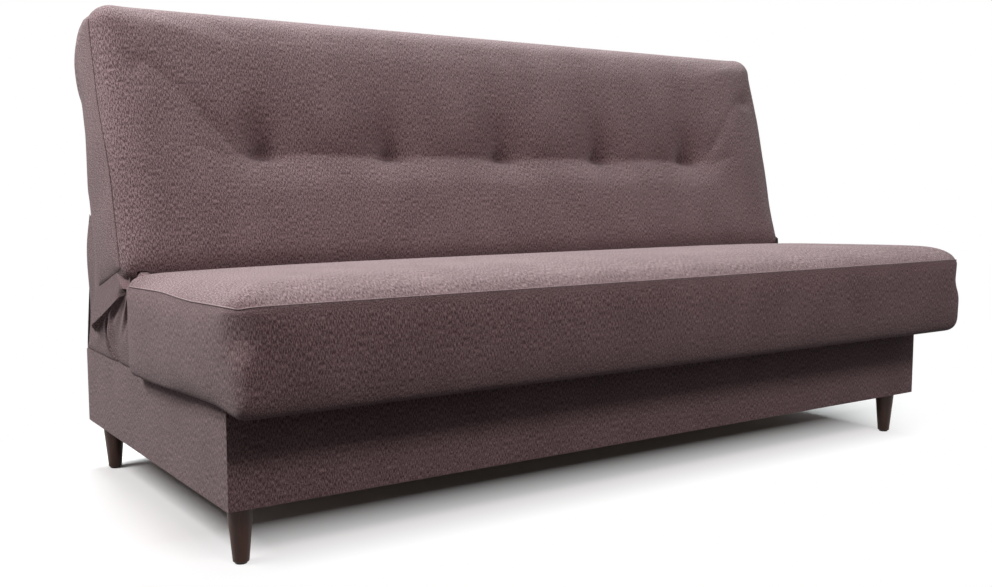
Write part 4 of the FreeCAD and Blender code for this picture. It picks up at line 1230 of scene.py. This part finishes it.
# %% Floor, light and world
deselect()
bpy.ops.mesh.primitive_plane_add(size=60, location=(0, 0, 0))
floor = bpy.context.object
floor.name = "floor"
BOUNCE_COLOUR = (0.025, 0.015, 0.015)
SEEN_COLOUR = (0.85, 0.85, 0.85)
GLOW_STARTS = {"end": 0.9, "front": 0.13, "rear": 0.45}
GLOW_RATES = {"end": 1.6, "front": 3.6, "rear": 2.0}


def floor_finish():
    """Pale near the sofa, fading into a glowing white like the backdrop: painted light that
    lightens the cast shadow away from the sofa; dim to light that bounces.
    """
    finish = Finish("floor_white")
    seen = finish.seen_ray()
    colour = finish.mix(seen, BOUNCE_COLOUR, SEEN_COLOUR)
    grain = finish.noise(finish.object_place(), 3.0)
    finish.set(Base_Color=colour, Roughness=0.9 + grain * 0.05, Specular_IOR_Level=0.0)
    apart = finish.node("SeparateXYZ", {}, {0: finish.object_place()})
    side_way = apart.sum("ABSOLUTE")
    front_way = Wire(finish, apart.socket.node.outputs[1])
    ways = {"front": front_way * -1.0, "end": side_way, "rear": front_way}
    front, end, rear = (
        (way - GLOW_STARTS[name]).at_least(0.0) * GLOW_RATES[name] for name, way in ways.items()
    )
    glow_amount = front + end + rear
    # Painted light: the floor glows white, more the farther it is from the sofa, and this lightens
    # its cast shadow.
    white = finish.node("Emission", {}, {"Color": (1.0, 1.0, 1.0), "Strength": 1.0})
    share = (glow_amount.clamped() * seen).clamped()
    body = Wire(finish, finish.surface.outputs[0])
    blend = finish.node("MixShader", {}, {0: share, 1: body, 2: white})
    finish.feed(finish.tree.nodes["Material Output"].inputs["Surface"], blend)
    return finish.material


dress(floor, floor_finish())


def area_light(name, place, aim, size, power, colour):
    light = bpy.data.lights.new(name, "AREA")
    light.shape = "RECTANGLE"
    light.size, light.size_y = size
    light.energy = power
    light.color = colour
    lamp = bpy.data.objects.new(name, light)
    bpy.context.scene.collection.objects.link(lamp)
    lamp.location = place
    lamp.rotation_euler = (Vector(aim) - Vector(place)).to_track_quat("-Z", "Y").to_euler()


area_light("overhead", (0.4, 0.98, 3.4), (0.1, 0.1, 0.4), (3.2, 1.4), 174, (0.93, 1.0, 1.0))
area_light("left_side", (-2.7, 0.3, 2.5), (-0.9, 0.1, 0.5), (1.2, 1.2), 94, (1.0, 0.98, 0.98))
area_light("front_fill", (-0.6, -3.5, 3.4), (0, 0, 0.4), (2.4, 0.9), 82, (1.0, 0.83, 0.84))

studio = Finish("studio", "worlds")
bpy.context.scene.world = studio.material
ambient = studio.node("Background", {}, {"Color": (1.0, 0.93, 0.93), "Strength": 0.22})
backdrop = studio.node("Background", {}, {"Color": (1.0, 1.0, 1.0), "Strength": 1.0})
chosen = studio.node("MixShader", {}, {0: studio.seen_ray(), 1: ambient, 2: backdrop})
studio.feed(studio.tree.nodes["World Output"].inputs["Surface"], chosen)
print("lights:", [light.name for light in bpy.data.lights])

# %% [markdown]
# The camera stands a little below the back's top edge, to the left, and looks slightly down. Its
# place and lens come from the lines of perspective in the photograph.

# %% Camera
CAMERA_PLACE = (-1.5451, -2.0589, 0.6454)
CAMERA_YAW = radians(34.54)
CAMERA_PITCH = radians(5.80)
CAMERA_LENS = 39.59
SENSOR_WIDTH = 36
camera_data = bpy.data.cameras.new("camera")
camera_data.lens = CAMERA_LENS
camera_data.sensor_width = SENSOR_WIDTH
camera = bpy.data.objects.new("camera", camera_data)
bpy.context.scene.collection.objects.link(camera)
camera.location = CAMERA_PLACE
camera.rotation_euler = (pi / 2 - CAMERA_PITCH, 0, -CAMERA_YAW)
bpy.context.scene.camera = camera
bpy.context.scene.view_settings.view_transform = "Standard"
print("camera at", CAMERA_PLACE, "with a lens of", CAMERA_LENS, "mm")
